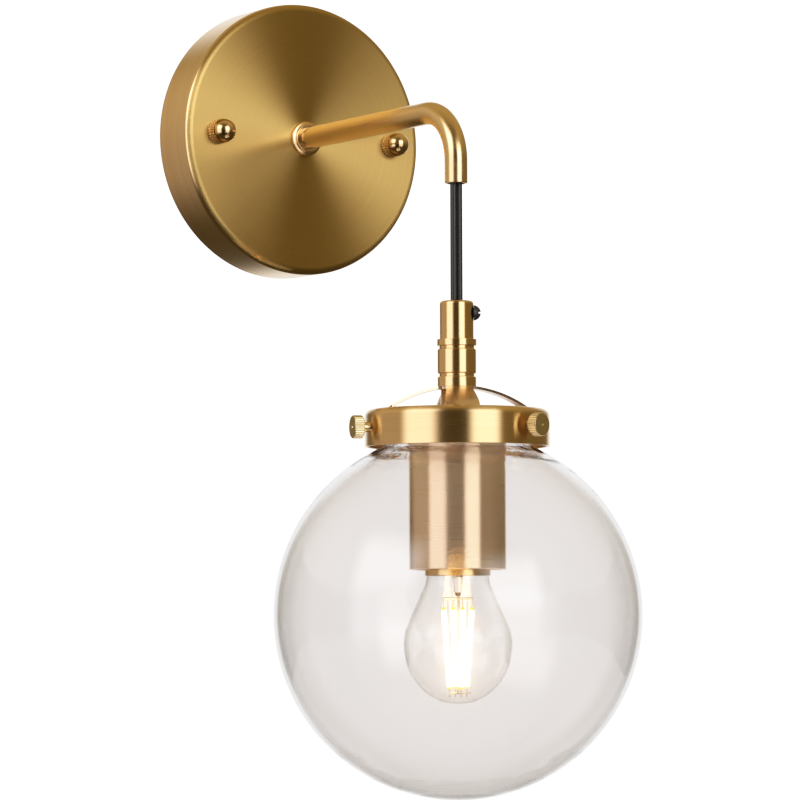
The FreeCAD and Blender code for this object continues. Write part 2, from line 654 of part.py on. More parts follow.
def make_nipple():
    """Threaded hollow nipple that joins the grip, the sleeve, the spider, the neck, the cup and the socket."""
    body = head_body("threaded_nipple")
    bore = s["nipple_radius"] - s["nipple_wall"]
    sketch = add_circle(new_sketch(body, "XY_Plane", GRIP_BOTTOM + s["nipple_entry"]), s["nipple_radius"])
    add_circle(sketch, bore)
    length = GRIP_BOTTOM + s["nipple_entry"] - SOCKET_NECK_BOTTOM
    pad(body, sketch, length, back=True)


def make_coupling_sleeve():
    """Turned sleeve under the grip: a thin flange, a groove, a chamfered barrel and a short spigot."""
    body = head_body("coupling_sleeve")
    flange = GRIP_BOTTOM - s["flange_height"]
    shoulder = flange - s["groove_height"]
    foot = shoulder - s["sleeve_height"]
    cut = s["sleeve_chamfer"]
    turned(body, (NIPPLE_BORE, GRIP_BOTTOM), (s["flange_radius"], GRIP_BOTTOM), (s["flange_radius"], flange),
           (s["groove_radius"], flange), (s["groove_radius"], shoulder), (s["sleeve_radius"] - cut, shoulder),
           (s["sleeve_radius"], shoulder - cut), (s["sleeve_radius"], foot + cut),
           (s["sleeve_radius"] - cut, foot), (s["groove_radius"], foot), (s["groove_radius"], SLEEVE_BOTTOM),
           (NIPPLE_BORE, SLEEVE_BOTTOM))


def make_clamp_ring():
    """Threaded ring that clamps the spider's hub."""
    body = head_body("clamp_ring")
    ring = turned(body, (NIPPLE_BORE, SLEEVE_BOTTOM), (s["sleeve_radius"], SLEEVE_BOTTOM),
                  (s["sleeve_radius"], CLAMP_BOTTOM), (NIPPLE_BORE, CLAMP_BOTTOM))
    soften(body, ring, s["clamp_chamfer"], ring_edge(s["sleeve_radius"], SLEEVE_BOTTOM), chamfer=True)


# ---------------------------------------------------------------- spider, gallery ring and thumbscrews

def free_sketch(name, rotation):
    """A sketch for a piece built from whole solids, on the head's axis."""
    sketch = doc.addObject("Sketcher::SketchObject", name)
    sketch.Placement = FreeCAD.Placement(V(0, 0, 0), rotation)
    return sketch


def extrude(name, sketch, direction, length, both):
    solid = doc.addObject("Part::Extrusion", name)
    solid.Base = sketch
    solid.DirMode = "Custom"
    solid.Dir = direction
    solid.setExpression("LengthFwd", length.text)
    solid.Solid = True
    solid.Symmetric = both
    return solid


def spider_arch(name):
    """One arched strip right across the head, of the arms' widest width."""
    upright = FreeCAD.Rotation(V(1, 0, 0), 90)
    end = GALLERY_INNER
    outer, inner = s["spider_arch_radius"], s["spider_arch_radius"] - s["spider_sheet"]
    center = CLAMP_BOTTOM - root(outer * outer - s["hub_radius"] * s["hub_radius"])
    rise_out, rise_in = root(outer * outer - end * end), root(inner * inner - end * end)
    sketch = free_sketch(name + "_line", upright)
    return draw(sketch, (end, center + rise_out), (-end, center + rise_out, 0, center, 1, "y"),
                (-end, center + rise_in), (end, center + rise_in, 0, center, -1, "y"))


def make_spider():
    """Four-armed arched sheet: flat hub under the clamp ring, arms that flare and curve down into the ring."""
    arches = []
    for name, turn in (("spider_arch_a", 0), ("spider_arch_b", 90)):
        sketch = spider_arch(name)
        strip = extrude(name, sketch, V(0, -1, 0), s["arm_tip_width"], True)
        strip.Placement = FreeCAD.Placement(V(0, 0, 0), FreeCAD.Rotation(Z_AXIS, turn))
        arches.append(strip)
    blank = doc.addObject("Part::Fuse", "spider_blank")
    blank.Base, blank.Tool = arches
    reach = s["spider_arch_radius"]
    cross = extrude("spider_cross", planform(), Z_AXIS, reach, False)
    cross.setExpression("Placement.Base.z", (CLAMP_BOTTOM - reach / 2).text)
    bounds = doc.addObject("Part::Common", "spider_bounds")
    bounds.Base, bounds.Tool = cross, tube("spider_disc", GALLERY_INNER - s["fit"], CLAMP_BOTTOM, reach)
    whole_arms = doc.addObject("Part::Common", "spider_whole_arms")
    whole_arms.Base, whole_arms.Tool = blank, bounds
    arms = doc.addObject("Part::Cut", "spider_arms")
    arms.Base, arms.Tool = whole_arms, tube("spider_eye", s["hub_radius"], CLAMP_BOTTOM, reach)
    hub = tube("spider_hub", s["hub_radius"], CLAMP_BOTTOM, s["spider_sheet"])
    joined = doc.addObject("Part::Fuse", "spider_joined")
    joined.Base, joined.Tool = arms, hub
    hole = tube("spider_hole", NIPPLE_BORE, CLAMP_BOTTOM + s["spider_sheet"], s["spider_sheet"] * 3)
    spider = doc.addObject("Part::Cut", "spider")
    spider.Label = "spider"
    spider.Base, spider.Tool = joined, hole
    quarter = s["fitter_yaw"] + 45
    spider.Placement = FreeCAD.Placement(V(0, 0, 0), FreeCAD.Rotation(Z_AXIS, quarter.value))
    spider.setExpression("Placement.Rotation.Angle", quarter.text)
    spider.setExpression("Placement.Base.y", "-Sizes.arm_reach")
    finished["spider"] = spider


def tube(name, radius, top, height):
    """A plain round blank that hangs down from a level."""
    blank = doc.addObject("Part::Cylinder", name)
    blank.setExpression("Radius", radius.text)
    blank.setExpression("Height", height.text)
    blank.setExpression("Placement.Base.z", (top - height).text)
    return blank


def planform():
    """The spider seen from above: four arms that widen from the hub, run straight and narrow inside the ring."""
    sketch = free_sketch("spider_plan", FreeCAD.Rotation())
    narrow, wide, last = s["arm_root_width"] / 2, s["arm_tip_width"] / 2, s["arm_end_width"] / 2
    near_hub, flare, inside, tip = s["arm_root_place"], s["arm_flare_place"], s["gallery_opening"], GALLERY_INNER
    corners = []
    for along, up in ((1, 0), (0, 1), (-1, 0), (0, -1)):
        for distance, width in ((narrow, -narrow), (near_hub, -narrow), (flare, -wide), (inside, -wide),
                                (tip, -last), (tip, last), (inside, wide), (flare, wide), (near_hub, narrow)):
            corners.append((distance * along - width * up, distance * up + width * along))
    return draw(sketch, corners[0], *corners[1:])


def make_gallery_ring():
    """Spun ring with a round shoulder and an open top, drilled for three screws."""
    body = head_body("gallery_ring", yaw=FIRST_SCREW_YAW)
    radius, ledge = s["gallery_radius"], GALLERY_TOP - s["gallery_wall"]
    ring = turned(body, (s["gallery_opening"], GALLERY_TOP), (radius, GALLERY_TOP), (radius, GALLERY_BOTTOM),
                  (GALLERY_INNER, GALLERY_BOTTOM), (GALLERY_INNER, ledge), (s["gallery_opening"], ledge))
    ring = soften(body, ring, s["gallery_shoulder"], ring_edge(radius, GALLERY_TOP))
    ring = soften(body, ring, s["gallery_shoulder"] - s["gallery_wall"], ring_edge(GALLERY_INNER, ledge))
    doc.recompute()
    hole = add_circle(new_sketch(body, "YZ_Plane"), s["screw_radius"] + s["running_gap"], 0, SCREW_LEVEL)
    polar(body, pocket(body, hole, back=True), "Z_Axis", 3)


def make_screw_bosses():
    """Three threaded bosses brazed inside the gallery ring, as one node."""
    body = head_body("screw_bosses", yaw=FIRST_SCREW_YAW)
    outer = GALLERY_INNER - s["rest_gap"] / 2
    sketch = add_circle(new_sketch(body, "YZ_Plane", outer), s["boss_radius"], 0, SCREW_LEVEL)
    add_circle(sketch, s["screw_radius"] + s["running_gap"], 0, SCREW_LEVEL)
    polar(body, pad(body, sketch, s["boss_length"], back=True), "Z_Axis", 3)


def make_thumbscrew(number):
    """Knurled thumbscrew whose tip reaches under the globe's lip."""
    yaw = FIRST_SCREW_YAW + THIRD_TURN * number
    body = new_body("thumbscrew_%s" % "abc"[number], y=-s["arm_reach"], z=SCREW_LEVEL, yaw=yaw)
    tip = s["globe_neck_radius"] + s["rest_gap"]
    seat = s["gallery_radius"] + s["screw_standoff"]
    face = seat + s["screw_head_length"]
    rim, cut = s["screw_head_radius"], s["screw_chamfer"]
    turned(body, (tip, 0), (face - s["screw_dimple_depth"], 0), (face, s["screw_dimple_radius"]),
           (face, rim - cut), (face - cut, rim), (seat + cut, rim), (seat, rim - cut), (seat, s["screw_radius"]),
           (tip + cut, s["screw_radius"]), (tip, s["screw_radius"] - cut), axis="H_Axis")
    doc.recompute()
    notch(body, "YZ_Plane", (seat + face) / 2, rim, s["screw_head_length"], "X_Axis", s["screw_knurls"])


# ---------------------------------------------------------------- neck, cup and lamp socket

def make_neck_sleeve():
    """Plain spacer between the spider's hub and the cup."""
    body = head_body("neck_sleeve")
    sketch = add_circle(new_sketch(body, "XY_Plane", HUB_BOTTOM), s["neck_radius"])
    add_circle(sketch, NIPPLE_BORE)
    pad(body, sketch, s["neck_length"], back=True)


def make_cup():
    """Drawn brass cup round the lamp socket, open below."""
    body = head_body("holder_cup")
    radius, inner = s["cup_radius"], s["cup_radius"] - s["cup_wall"]
    cup = turned(body, (NIPPLE_BORE, CUP_TOP), (radius, CUP_TOP), (radius, CUP_RIM), (inner, CUP_RIM),
                 (inner, CUP_INNER_TOP), (NIPPLE_BORE, CUP_INNER_TOP))
    cup = soften(body, cup, s["cup_edge_radius"], ring_edge(radius, CUP_TOP))
    soften(body, cup, s["cup_edge_radius"] - s["cup_wall"], ring_edge(inner, CUP_INNER_TOP))


def make_cup_fixing():
    """Washer and hexagon nut that hold the cup on the nipple."""
    washer = head_body("cup_washer")
    sketch = add_circle(new_sketch(washer, "XY_Plane", CUP_INNER_TOP), s["inner_washer_radius"])
    add_circle(sketch, NIPPLE_BORE)
    pad(washer, sketch, s["inner_washer"], back=True)
    nut = head_body("cup_lock_nut")
    hex_nut(nut, "XY_Plane", CUP_INNER_TOP - s["inner_washer"], s["nut_flats"], s["nut_height"], NIPPLE_BORE,
            True)


SHELL_INNER = s["cap_shell_radius"] + s["hole_clearance"]
SHELL_OUTER = SHELL_INNER + s["shell_wall"]


def make_socket_body():
    """Porcelain lamp socket: a threaded neck, a wiring chamber, a deck and a well for the screw shell."""
    body = head_body("lamp_socket")
    radius, well = s["socket_radius"], SHELL_OUTER + s["hole_clearance"]
    chamber = s["socket_radius"] - s["socket_wall"]
    shoulder = SOCKET_NECK_BOTTOM - s["socket_shoulder"]
    rivet = s["rivet_radius"] + s["fit"]
    turned(body, (NIPPLE_BORE, SOCKET_TOP), (s["socket_neck_radius"], SOCKET_TOP),
           (s["socket_neck_radius"], SOCKET_NECK_BOTTOM), (radius, shoulder), (radius, SOCKET_MOUTH),
           (well, SOCKET_MOUTH), (well, DECK_BOTTOM), (rivet, DECK_BOTTOM), (rivet, DECK_TOP),
           (chamber, DECK_TOP), (chamber, shoulder), (NIPPLE_BORE, SOCKET_NECK_BOTTOM))


def make_screw_shell():
    """Brass screw shell that takes the bulb's cap."""
    body = head_body("screw_shell")
    top = DECK_BOTTOM - s["fit"]
    opening = s["contact_radius"] + s["hole_clearance"] * 4
    low = CAP_BOTTOM + s["cap_skirt_height"] + s["rest_gap"]
    turned(body, (SHELL_INNER, low), (SHELL_OUTER, low), (SHELL_OUTER, top), (opening, top),
           (opening, top - s["shell_wall"]), (SHELL_INNER, top - s["shell_wall"]))


def make_socket_contact():
    """Centre contact: a rivet through the deck with a domed button under it."""
    body = head_body("socket_contact")
    half = s["contact_radius"] / 2
    head = DECK_TOP + s["shell_wall"]
    turned(body, (0, head), (s["rivet_radius"], head), (s["rivet_radius"], DECK_BOTTOM),
           (s["contact_radius"], DECK_BOTTOM), (s["contact_radius"], DECK_BOTTOM - s["shell_wall"]),
           (half, CONTACT_TIP), (0, CONTACT_TIP))


def make_socket_terminals():
    """Two wiring screws on the socket's deck, as one node."""
    body = head_body("socket_terminals")
    sketch = new_sketch(body, "XY_Plane", DECK_TOP)
    for side in (1, -1):
        add_circle(sketch, s["terminal_radius"], s["terminal_place"] * side, 0)
    pad(body, sketch, s["terminal_height"])


# ---------------------------------------------------------------- globe

def make_globe():
    """Clear blown globe: a sphere with an open neck and a rolled lip, of even wall."""
    body = head_body("glass_globe")
    ball, wall, fillet, neck = s["globe_radius"], s["globe_wall"], s["globe_fillet"], s["globe_neck_radius"]
    corner = neck + fillet
    rise = root((ball + fillet) * (ball + fillet) - corner * corner)
    share, inner_share = ball / (ball + fillet), (ball - wall) / (ball + fillet)
    lip_top = LIP_BOTTOM + s["globe_lip_height"]
    center = GLOBE_TURN - rise
    sketch = new_sketch(body, "XZ_Plane")
    draw(sketch, (0, center - ball),
         (corner * share, center + rise * share, 0, center, 1, "y"),
         (neck, GLOBE_TURN, corner, GLOBE_TURN, -1, "x"),
         (neck, LIP_BOTTOM), (s["globe_lip_radius"], LIP_BOTTOM), (s["globe_lip_radius"], lip_top),
         (neck - wall, lip_top), (neck - wall, GLOBE_TURN),
         (corner * inner_share, center + rise * inner_share, corner, GLOBE_TURN, 1, "y"),
         (0, center - ball + wall, 0, center, -1, "y"))
    globe = revolve(body, sketch)
    soften(body, globe, s["globe_lip_height"] / 3,
           lambda p: near(p.z, lip_top) or ring_edge(s["globe_lip_radius"], LIP_BOTTOM)(p))


# ---------------------------------------------------------------- bulb

CAP_INNER = s["cap_shell_radius"] - s["cap_shell_wall"]
CAP_TOP = BULB_TIP - s["insulator_height"] - s["cap_cone_height"]
BULB_NECK_TOP = CAP_BOTTOM + s["cap_skirt_height"] - s["cap_shell_wall"] - s["fit"]
STEM_TOP = BULB_NECK_TOP - s["bulb_wall"]


def make_bulb_glass():
    """Clear envelope: a ball that runs into a cone and a straight neck inside the cap."""
    body = head_body("bulb_glass")
    ball, wall, angle = s["bulb_radius"], s["bulb_wall"], s["bulb_cone_angle"]
    neck = s["bulb_neck_radius"]
    side, up = ball * cosine(angle), BULB_CENTER + ball * sine(angle)
    slope = sine(angle) / cosine(angle)
    cone_top = up + (side - neck) / slope
    thin = ball - wall
    inner_side, inner_up = thin * cosine(angle), BULB_CENTER + thin * sine(angle)
    inner_top = inner_up + (inner_side - neck + wall) / slope
    sketch = new_sketch(body, "XZ_Plane")
    draw(sketch, (0, BULB_CENTER - ball), (side, up, 0, BULB_CENTER, 1, "x"), (neck, cone_top),
         (neck, BULB_NECK_TOP), (neck - wall, BULB_NECK_TOP), (neck - wall, inner_top), (inner_side, inner_up),
         (0, BULB_CENTER - thin, 0, BULB_CENTER, -1, "y"))
    revolve(body, sketch)


def make_bulb_cap():
    """Screw cap: a smooth skirt, rolled thread rings and a cone towards the insulator."""
    body = head_body("bulb_cap")
    outer, inner = s["cap_shell_radius"], CAP_INNER
    skirt_top = CAP_BOTTOM + s["cap_skirt_height"]
    rim = s["bulb_neck_radius"] + s["fit"]
    small = s["tip_radius"] + s["cap_shell_wall"]
    rings = int((CAP_TOP.value - skirt_top.value) / s["thread_pitch"].value)
    points = [(rim, CAP_BOTTOM), (rim + s["cap_shell_wall"], CAP_BOTTOM), (rim + s["cap_shell_wall"], skirt_top)]
    for ring in range(rings):
        low = skirt_top + s["thread_pitch"] * (ring + 0.25)
        points.append((outer - s["thread_depth"], low))
        points.append((outer, low + s["thread_pitch"] / 2))
    points += [(outer - s["thread_depth"], CAP_TOP), (small, CAP_TOP + s["cap_cone_height"]),
               (s["tip_radius"], CAP_TOP + s["cap_cone_height"]),
               (inner - s["thread_depth"] * 2, CAP_TOP), (inner - s["thread_depth"], skirt_top),
               (rim, skirt_top - s["cap_shell_wall"])]
    turned(body, *points)


def make_bulb_insulator():
    """Black glass insulator between the cap and the tip contact."""
    body = head_body("bulb_insulator")
    low = CAP_TOP + s["cap_cone_height"]
    top = BULB_TIP - s["shell_wall"]
    turned(body, (0, low - s["insulator_height"]), (s["tip_radius"] - s["fit"], low - s["insulator_height"]),
           (s["tip_radius"] - s["fit"], low), (s["tip_small_radius"], top), (0, top))


def make_bulb_contact():
    """Soldered tip contact."""
    body = head_body("bulb_contact")
    low = BULB_TIP - s["shell_wall"]
    turned(body, (0, low), (s["tip_small_radius"], low), (s["tip_small_radius"] / 2, BULB_TIP), (0, BULB_TIP))


def make_bulb_stem():
    """Glass stem: a flare sealed in the neck that narrows to a rod."""
    body = head_body("bulb_stem")
    flare = s["bulb_neck_radius"] - s["bulb_wall"] - s["fit"]
    waist = STEM_TOP - s["stem_flare_height"]
    end = STEM_TOP - s["stem_length"]
    turned(body, (0, STEM_TOP), (flare, STEM_TOP), (flare, STEM_TOP - s["bulb_wall"]),
           (s["stem_radius"] * 1.3, waist), (s["stem_radius"], end + s["stem_radius"]),
           (s["stem_radius"] / 2, end), (0, end))


FILAMENT_TOP = BULB_TIP - s["filament_drop"]
FILAMENT_BOTTOM = FILAMENT_TOP - s["filament_length"]


def rod(name, radius, start, end):
    """A round bar between two points of the head's own frame, given as (ring radius, angle, level)."""
    ends = []
    for ring, angle, level in (start, end):
        turn = math.radians(angle)
        ends.append(V(plain(ring) * math.cos(turn), plain(ring) * math.sin(turn), plain(level)))
    line = ends[1] - ends[0]
    bar = doc.addObject("Part::Cylinder", name)
    bar.setExpression("Radius", radius.text)
    bar.Height = line.Length
    bar.Placement = FreeCAD.Placement(ends[0], FreeCAD.Rotation(Z_AXIS, line))
    return bar


def make_filaments():
    """Four LED filaments that lean together downwards, as one node."""
    bars = []
    for number in range(4):
        angle = plain(s["filament_turn"]) + 90 * number
        bars.append(rod("filament_%d" % (number + 1), s["filament_radius"],
                        (s["filament_top_ring"], angle, FILAMENT_TOP),
                        (s["filament_low_ring"], angle, FILAMENT_BOTTOM)))
    group = doc.addObject("Part::Compound", "filaments")
    group.Label = "filaments"
    group.Links = bars
    group.setExpression("Placement.Base.y", "-Sizes.arm_reach")
    finished["filaments"] = group


def make_filament_frame():
    """Centre post, four upper wires and a lower cross that hold the filaments."""
    stem_end = STEM_TOP - s["stem_length"]
    knee, cross = FILAMENT_TOP + s["wire_rise"], FILAMENT_BOTTOM - s["cross_drop"]
    wire, upright, start = s["wire_radius"], s["pin_radius"], s["post_radius"] * 0.7
    top_ring, low_ring = s["filament_top_ring"], s["filament_low_ring"]
    bars = [rod("post", s["post_radius"], (0, 0, stem_end), (0, 0, cross - s["post_radius"]))]
    for number in range(4):
        angle = plain(s["filament_turn"]) + 90 * number
        bars += [rod("wire_out_%d" % number, wire, (start, angle, knee), (top_ring + wire, angle, knee)),
                 rod("wire_top_%d" % number, upright, (top_ring, angle, knee),
                     (top_ring, angle, FILAMENT_TOP + s["fit"])),
                 rod("cross_%d" % number, wire, (start, angle, cross), (s["cross_reach"], angle, cross)),
                 rod("pin_%d" % number, upright, (low_ring, angle, FILAMENT_BOTTOM - s["fit"]),
                     (low_ring, angle, cross - s["pin_length"]))]
    frame = doc.addObject("Part::MultiFuse", "filament_frame")
    frame.Label = "filament_frame"
    frame.Shapes = bars
    frame.setExpression("Placement.Base.y", "-Sizes.arm_reach")
    finished["filament_frame"] = frame


def build():
    make_canopy()
    make_crossbar()
    make_studs()
    make_stud_nuts()
    make_ground_screw()
    make_cap_nut("cap_nut_left", -1)
    make_cap_nut("cap_nut_right", 1)
    make_arm_tube()
    make_arm_collar()
    make_arm_fixing()
    make_cord_in_arm()
    make_cord_drop()
    make_cord_in_head()
    make_cord_retainer()
    make_terminal_block()
    make_cord_grip()
    make_grip_screw()
    make_nipple()
    make_coupling_sleeve()
    make_clamp_ring()
    make_spider()
    make_gallery_ring()
    make_screw_bosses()
    for number in range(3):
        make_thumbscrew(number)
    make_neck_sleeve()
    make_cup()
    make_cup_fixing()
    make_socket_body()
    make_screw_shell()
    make_socket_contact()
    make_socket_terminals()
    make_globe()
    make_bulb_glass()
    make_bulb_cap()
    make_bulb_insulator()
    make_bulb_contact()
    make_bulb_stem()
    make_filaments()
    make_filament_frame()


def check_and_export():
    """Stops on any failed object or bad shape, and writes one file for each sub-part."""
    doc.recompute()
    for item in doc.Objects:
        if "Invalid" in item.State or "Error" in item.State:
            raise RuntimeError(item.Label + " failed: " + ", ".join(item.State))
    os.makedirs("parts", exist_ok=True)
    for label, item in finished.items():
        shape = item.Shape
        if shape.isNull() or not shape.isValid() or not shape.Solids:
            raise RuntimeError(label + " has no valid solid")
        shape.exportStep("parts/%s.step" % label)


build()
check_and_export()
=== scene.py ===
"""Globe wall sconce: finished surfaces, materials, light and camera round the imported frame, in metres.

Wall pieces turn about the canopy's axis, which runs along -Y from the wall. Head pieces turn about the
vertical line through the arm's mouth. A profile is written as (radius, height, fillet) corners.
"""

import json
import math

import bmesh
import bpy
import numpy as np
from bpy.props import FloatProperty, FloatVectorProperty, IntProperty, PointerProperty
from mathutils import Matrix, Vector


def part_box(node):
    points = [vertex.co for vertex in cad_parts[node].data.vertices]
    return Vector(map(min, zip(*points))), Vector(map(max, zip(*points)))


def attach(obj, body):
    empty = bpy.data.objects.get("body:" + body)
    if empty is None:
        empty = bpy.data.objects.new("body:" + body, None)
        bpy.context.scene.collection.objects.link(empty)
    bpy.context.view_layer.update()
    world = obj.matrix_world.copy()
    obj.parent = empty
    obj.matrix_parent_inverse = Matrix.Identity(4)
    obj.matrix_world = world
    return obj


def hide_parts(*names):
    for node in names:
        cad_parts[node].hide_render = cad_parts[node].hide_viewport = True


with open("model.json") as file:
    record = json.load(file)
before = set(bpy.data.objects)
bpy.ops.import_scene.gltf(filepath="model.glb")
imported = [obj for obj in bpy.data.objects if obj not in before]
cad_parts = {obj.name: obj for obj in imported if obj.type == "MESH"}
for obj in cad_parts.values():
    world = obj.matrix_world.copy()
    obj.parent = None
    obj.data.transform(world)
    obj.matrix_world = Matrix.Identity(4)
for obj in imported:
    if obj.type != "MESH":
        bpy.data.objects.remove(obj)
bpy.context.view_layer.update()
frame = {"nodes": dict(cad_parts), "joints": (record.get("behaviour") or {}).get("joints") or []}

bl_info = {
    "name": "Globe wall sconce",
    "version": (1, 0, 0),
    "blender": (4, 5, 0),
    "location": "3D View > Sidebar > Sconce",
    "description": "Makes the finished surfaces of a wall light with a clear glass globe",
    "category": "Add Mesh",
}

MM = 0.001
FULL = 2 * math.pi


def node_size(node):
    """Width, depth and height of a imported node."""
    low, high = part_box(node)
    return [b - a for a, b in zip(low, high)]


def node_top(node):
    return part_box(node)[1][2]


def node_low(node):
    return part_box(node)[0][2]


REACH = -(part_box("gallery_ring")[0][1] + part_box("gallery_ring")[1][1]) / 2
SCREW_LEVEL = (node_top("thumbscrew_a") + node_low("thumbscrew_a")) / 2
STUD_PLACE = (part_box("cap_nut_right")[0][0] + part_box("cap_nut_right")[1][0]) / 2


# ---------------- what a user may change

def size(name, description, default):
    return FloatProperty(name=name, description=description, default=default, unit="LENGTH")


def tint(name, description, default):
    return FloatVectorProperty(
        name=name, description=description, default=default, subtype="COLOR", min=0, max=1)


def angle(name, description, default):
    return FloatProperty(name=name, description=description, default=default, subtype="ANGLE")


class SconceSizes(bpy.types.PropertyGroup):
    canopy_radius: size("Canopy radius", "Outer radius of the round wall plate", node_size("canopy")[0] / 2)
    canopy_depth: size("Canopy depth", "How far the plate stands out from the wall", node_size("canopy")[1])
    canopy_edge: size("Canopy edge", "Radius of the canopy's rolled front edge", 3 * MM)
    sheet: size("Sheet", "Thickness of the spun brass", 1.2 * MM)
    tube_radius: size("Arm radius", "Outer radius of the bent arm", node_size("arm_tube")[0] / 2)
    bend_radius: size("Bend radius", "Radius of the arm's bend, at the tube's middle", 22 * MM)
    core_radius: size("Core radius", "Radius of each of the cord's two cores", 1.4 * MM)
    core_offset: size("Core offset", "From the cord's middle to each core's middle", 1.35 * MM)
    nut_knurls: IntProperty(name="Nut knurls", description="Knurls round each cap nut", default=28, min=8)
    screw_knurls: IntProperty(
        name="Thumbscrew knurls", description="Knurls round each thumbscrew", default=30, min=8)
    knurl_depth: size("Knurl depth", "Depth of the knurls' grooves", 0.26 * MM)
    globe_radius: size("Globe radius", "Outer radius of the glass globe", node_size("glass_globe")[0] / 2)
    globe_wall: size("Globe wall", "Thickness of the globe's glass", 2 * MM)
    globe_wave: size("Globe wave", "Height of the waves in the blown glass near its neck", 0.6 * MM)
    bulb_radius: size("Bulb radius", "Radius of the bulb's ball", node_size("bulb_glass")[0] / 2)
    filament_radius: size("Filament radius", "Radius of each lit filament", 0.95 * MM)


class SconceFinish(bpy.types.PropertyGroup):
    brass: tint("Brass", "Colour of the satin brass", (0.85, 0.585, 0.30))
    # painted shade: the canopy face's colour is the brass made darker, standing in for the dim room that its
    # brushed face mirrors
    shaded_face_brass: tint("Face brass", "Colour of the canopy's brushed face", (0.59, 0.39, 0.14))
    cup_brass: tint("Cup brass", "Colour of the drawn cup, a little pinker", (0.88, 0.66, 0.47))
    bright_brass: tint("Bright brass", "Colour of the bare brass of the small screws", (0.86, 0.71, 0.43))
    brush: size("Brush", "Depth of the brushed lines, as a bump distance", 0.004 * MM)
    cord: tint("Cord", "Colour of the cord's jacket", (0.012, 0.012, 0.014))
    glass: tint("Glass", "Tint of the globe's glass", (0.915, 0.89, 0.885))
    glow: tint("Glow", "Colour of the lit filaments", (1.0, 0.72, 0.34))
    glow_strength: FloatProperty(
        name="Glow strength", description="Brightness of the lit filaments", default=16, min=0)


class SconceStudio(bpy.types.PropertyGroup):
    camera_place: FloatVectorProperty(
        name="Camera", description="Where the camera stands",
        default=(-0.848835887, -1.40170015, -0.210753944), subtype="TRANSLATION")
    camera_yaw: angle("Yaw", "Turn of the camera about the vertical", -0.577587600)
    camera_rise: angle("Rise", "How far the camera looks up", 0.0593712804)
    camera_roll: angle("Roll", "Roll of the camera", -0.00338967841)
    camera_lens: FloatProperty(
        name="Lens", description="Focal length for a 36 mm wide sensor, in mm", default=167.28, min=1)
    key: FloatProperty(name="Key", description="Brightness of the soft box in front", default=3.4, min=0)
    side: FloatProperty(name="Side", description="Brightness of the soft box on the left", default=3.4, min=0)
    fill: FloatProperty(name="Fill", description="Brightness of the warm room", default=0.17, min=0)
    floor_size: size("Floor", "Width of the floor", 2.4)
    floor_drop: size("Floor drop", "Room between the globe and the floor", 0.2)
    floor_colour: tint("Floor colour", "Colour of the floor", (0.82, 0.81, 0.79))


# ---------------- shapes

SUPPORT = 0.08 * MM


def rounded(*corners, steps=6):
    """Profile with tangent arcs: an arc's ends lie fillet / tan(half) along the runs from the corner, and its
    points are the sine-weighted mean of its end radii. A support point just outside each end keeps the runs'
    shading flat."""
    spots = np.array([c[:2] for c in corners], float)
    pieces = []
    for i, corner in enumerate(corners):
        fillet = corner[2] if len(corner) > 2 else 0
        if not fillet:
            pieces.append(spots[i][None])
            continue
        back, ahead = spots[i - 1] - spots[i], spots[(i + 1) % len(corners)] - spots[i]
        back, ahead = back / np.linalg.norm(back), ahead / np.linalg.norm(ahead)
        half = math.acos(np.clip(back @ ahead, -1, 1)) / 2
        cut, sweep = fillet / math.tan(half), math.pi - 2 * half
        middle = spots[i] + (back + ahead) / np.linalg.norm(back + ahead) * fillet / math.sin(half)
        start, end = spots[i] + back * cut, spots[i] + ahead * cut
        share = np.linspace(0, 1, steps + 1)[:, None]
        bow = np.sin((1 - share) * sweep) * (start - middle) + np.sin(share * sweep) * (end - middle)
        support = min(SUPPORT, fillet / 2)
        pieces += [(start + back * support)[None], middle + bow / math.sin(sweep)]
        pieces.append((end + ahead * support)[None])
    return np.vstack(pieces)


def arc(middle, radius, start, end, steps):
    """Points (radius cos a, radius sin a) round a middle, with a from start to end in degrees."""
    a = np.radians(np.linspace(start, end, steps + 1))
    return np.column_stack([middle[0] + radius * np.cos(a), middle[1] + radius * np.sin(a)])


def denser(points, step):
    """The same profile with its long runs divided, no point further than a step from the next."""
    run = np.concatenate([[0], np.cumsum(np.linalg.norm(np.diff(points, axis=0), axis=1))])
    extra = np.arange(step, run[-1], step)
    at = np.unique(np.round(np.concatenate([run, extra]), 8))
    return np.column_stack([np.interp(at, run, points[:, k]) for k in (0, 1)])


def placed(origin, across, up, along):
    """A place for turned pieces: local x, y and z run along three directions from an origin."""
    axes = np.array([across, up, along], float)
    return lambda local: local @ axes + np.array(origin, float)


WALL = placed((0, 0, 0), (1, 0, 0), (0, 0, 1), (0, -1, 0))
HEAD = placed((0, -REACH, 0), (1, 0, 0), (0, 1, 0), (0, 0, 1))


def outwards(yaw, level):
    """A place whose axis points away from the head's axis at a yaw, at a level."""
    c, s = math.cos(yaw), math.sin(yaw)
    return placed((0, -REACH, level), (-s, c, 0), (0, 0, 1), (c, s, 0))


class Skin:
    """A grid of points with rows along the profile and columns round it, closed round the columns."""

    def __init__(self, points, looped=False, material=0):
        self.points, self.looped, self.material = points, looped, material


def turned(profile, place, count=128, looped=False, shift=None, material=0):
    """Surface of revolution: (r cos t, r sin t, h) for each profile point (r, h) and turn t. A
    shift(r, h, t) is added to the radius."""
    turn = np.arange(count) * FULL / count
    radius, height, turn = np.broadcast_arrays(profile[:, :1], profile[:, 1:], turn)
    if shift:
        radius = radius + shift(radius, height, turn)
    return Skin(place(np.stack([radius * np.cos(turn), radius * np.sin(turn), height], -1)), looped, material)


def knurled(count, depth, low, high, rim):
    """Radius change of a knurled band: minus depth times a clipped wave of the turn, only on the rim."""
    def shift(radius, height, turn):
        wave = np.abs((turn * count / FULL) % 1 - 0.5) * 2
        groove = np.clip(wave * 1.6 - 0.3, 0, 1)
        band = (height > low) & (height < high) & (radius > rim)
        return -depth * groove * band
    return shift


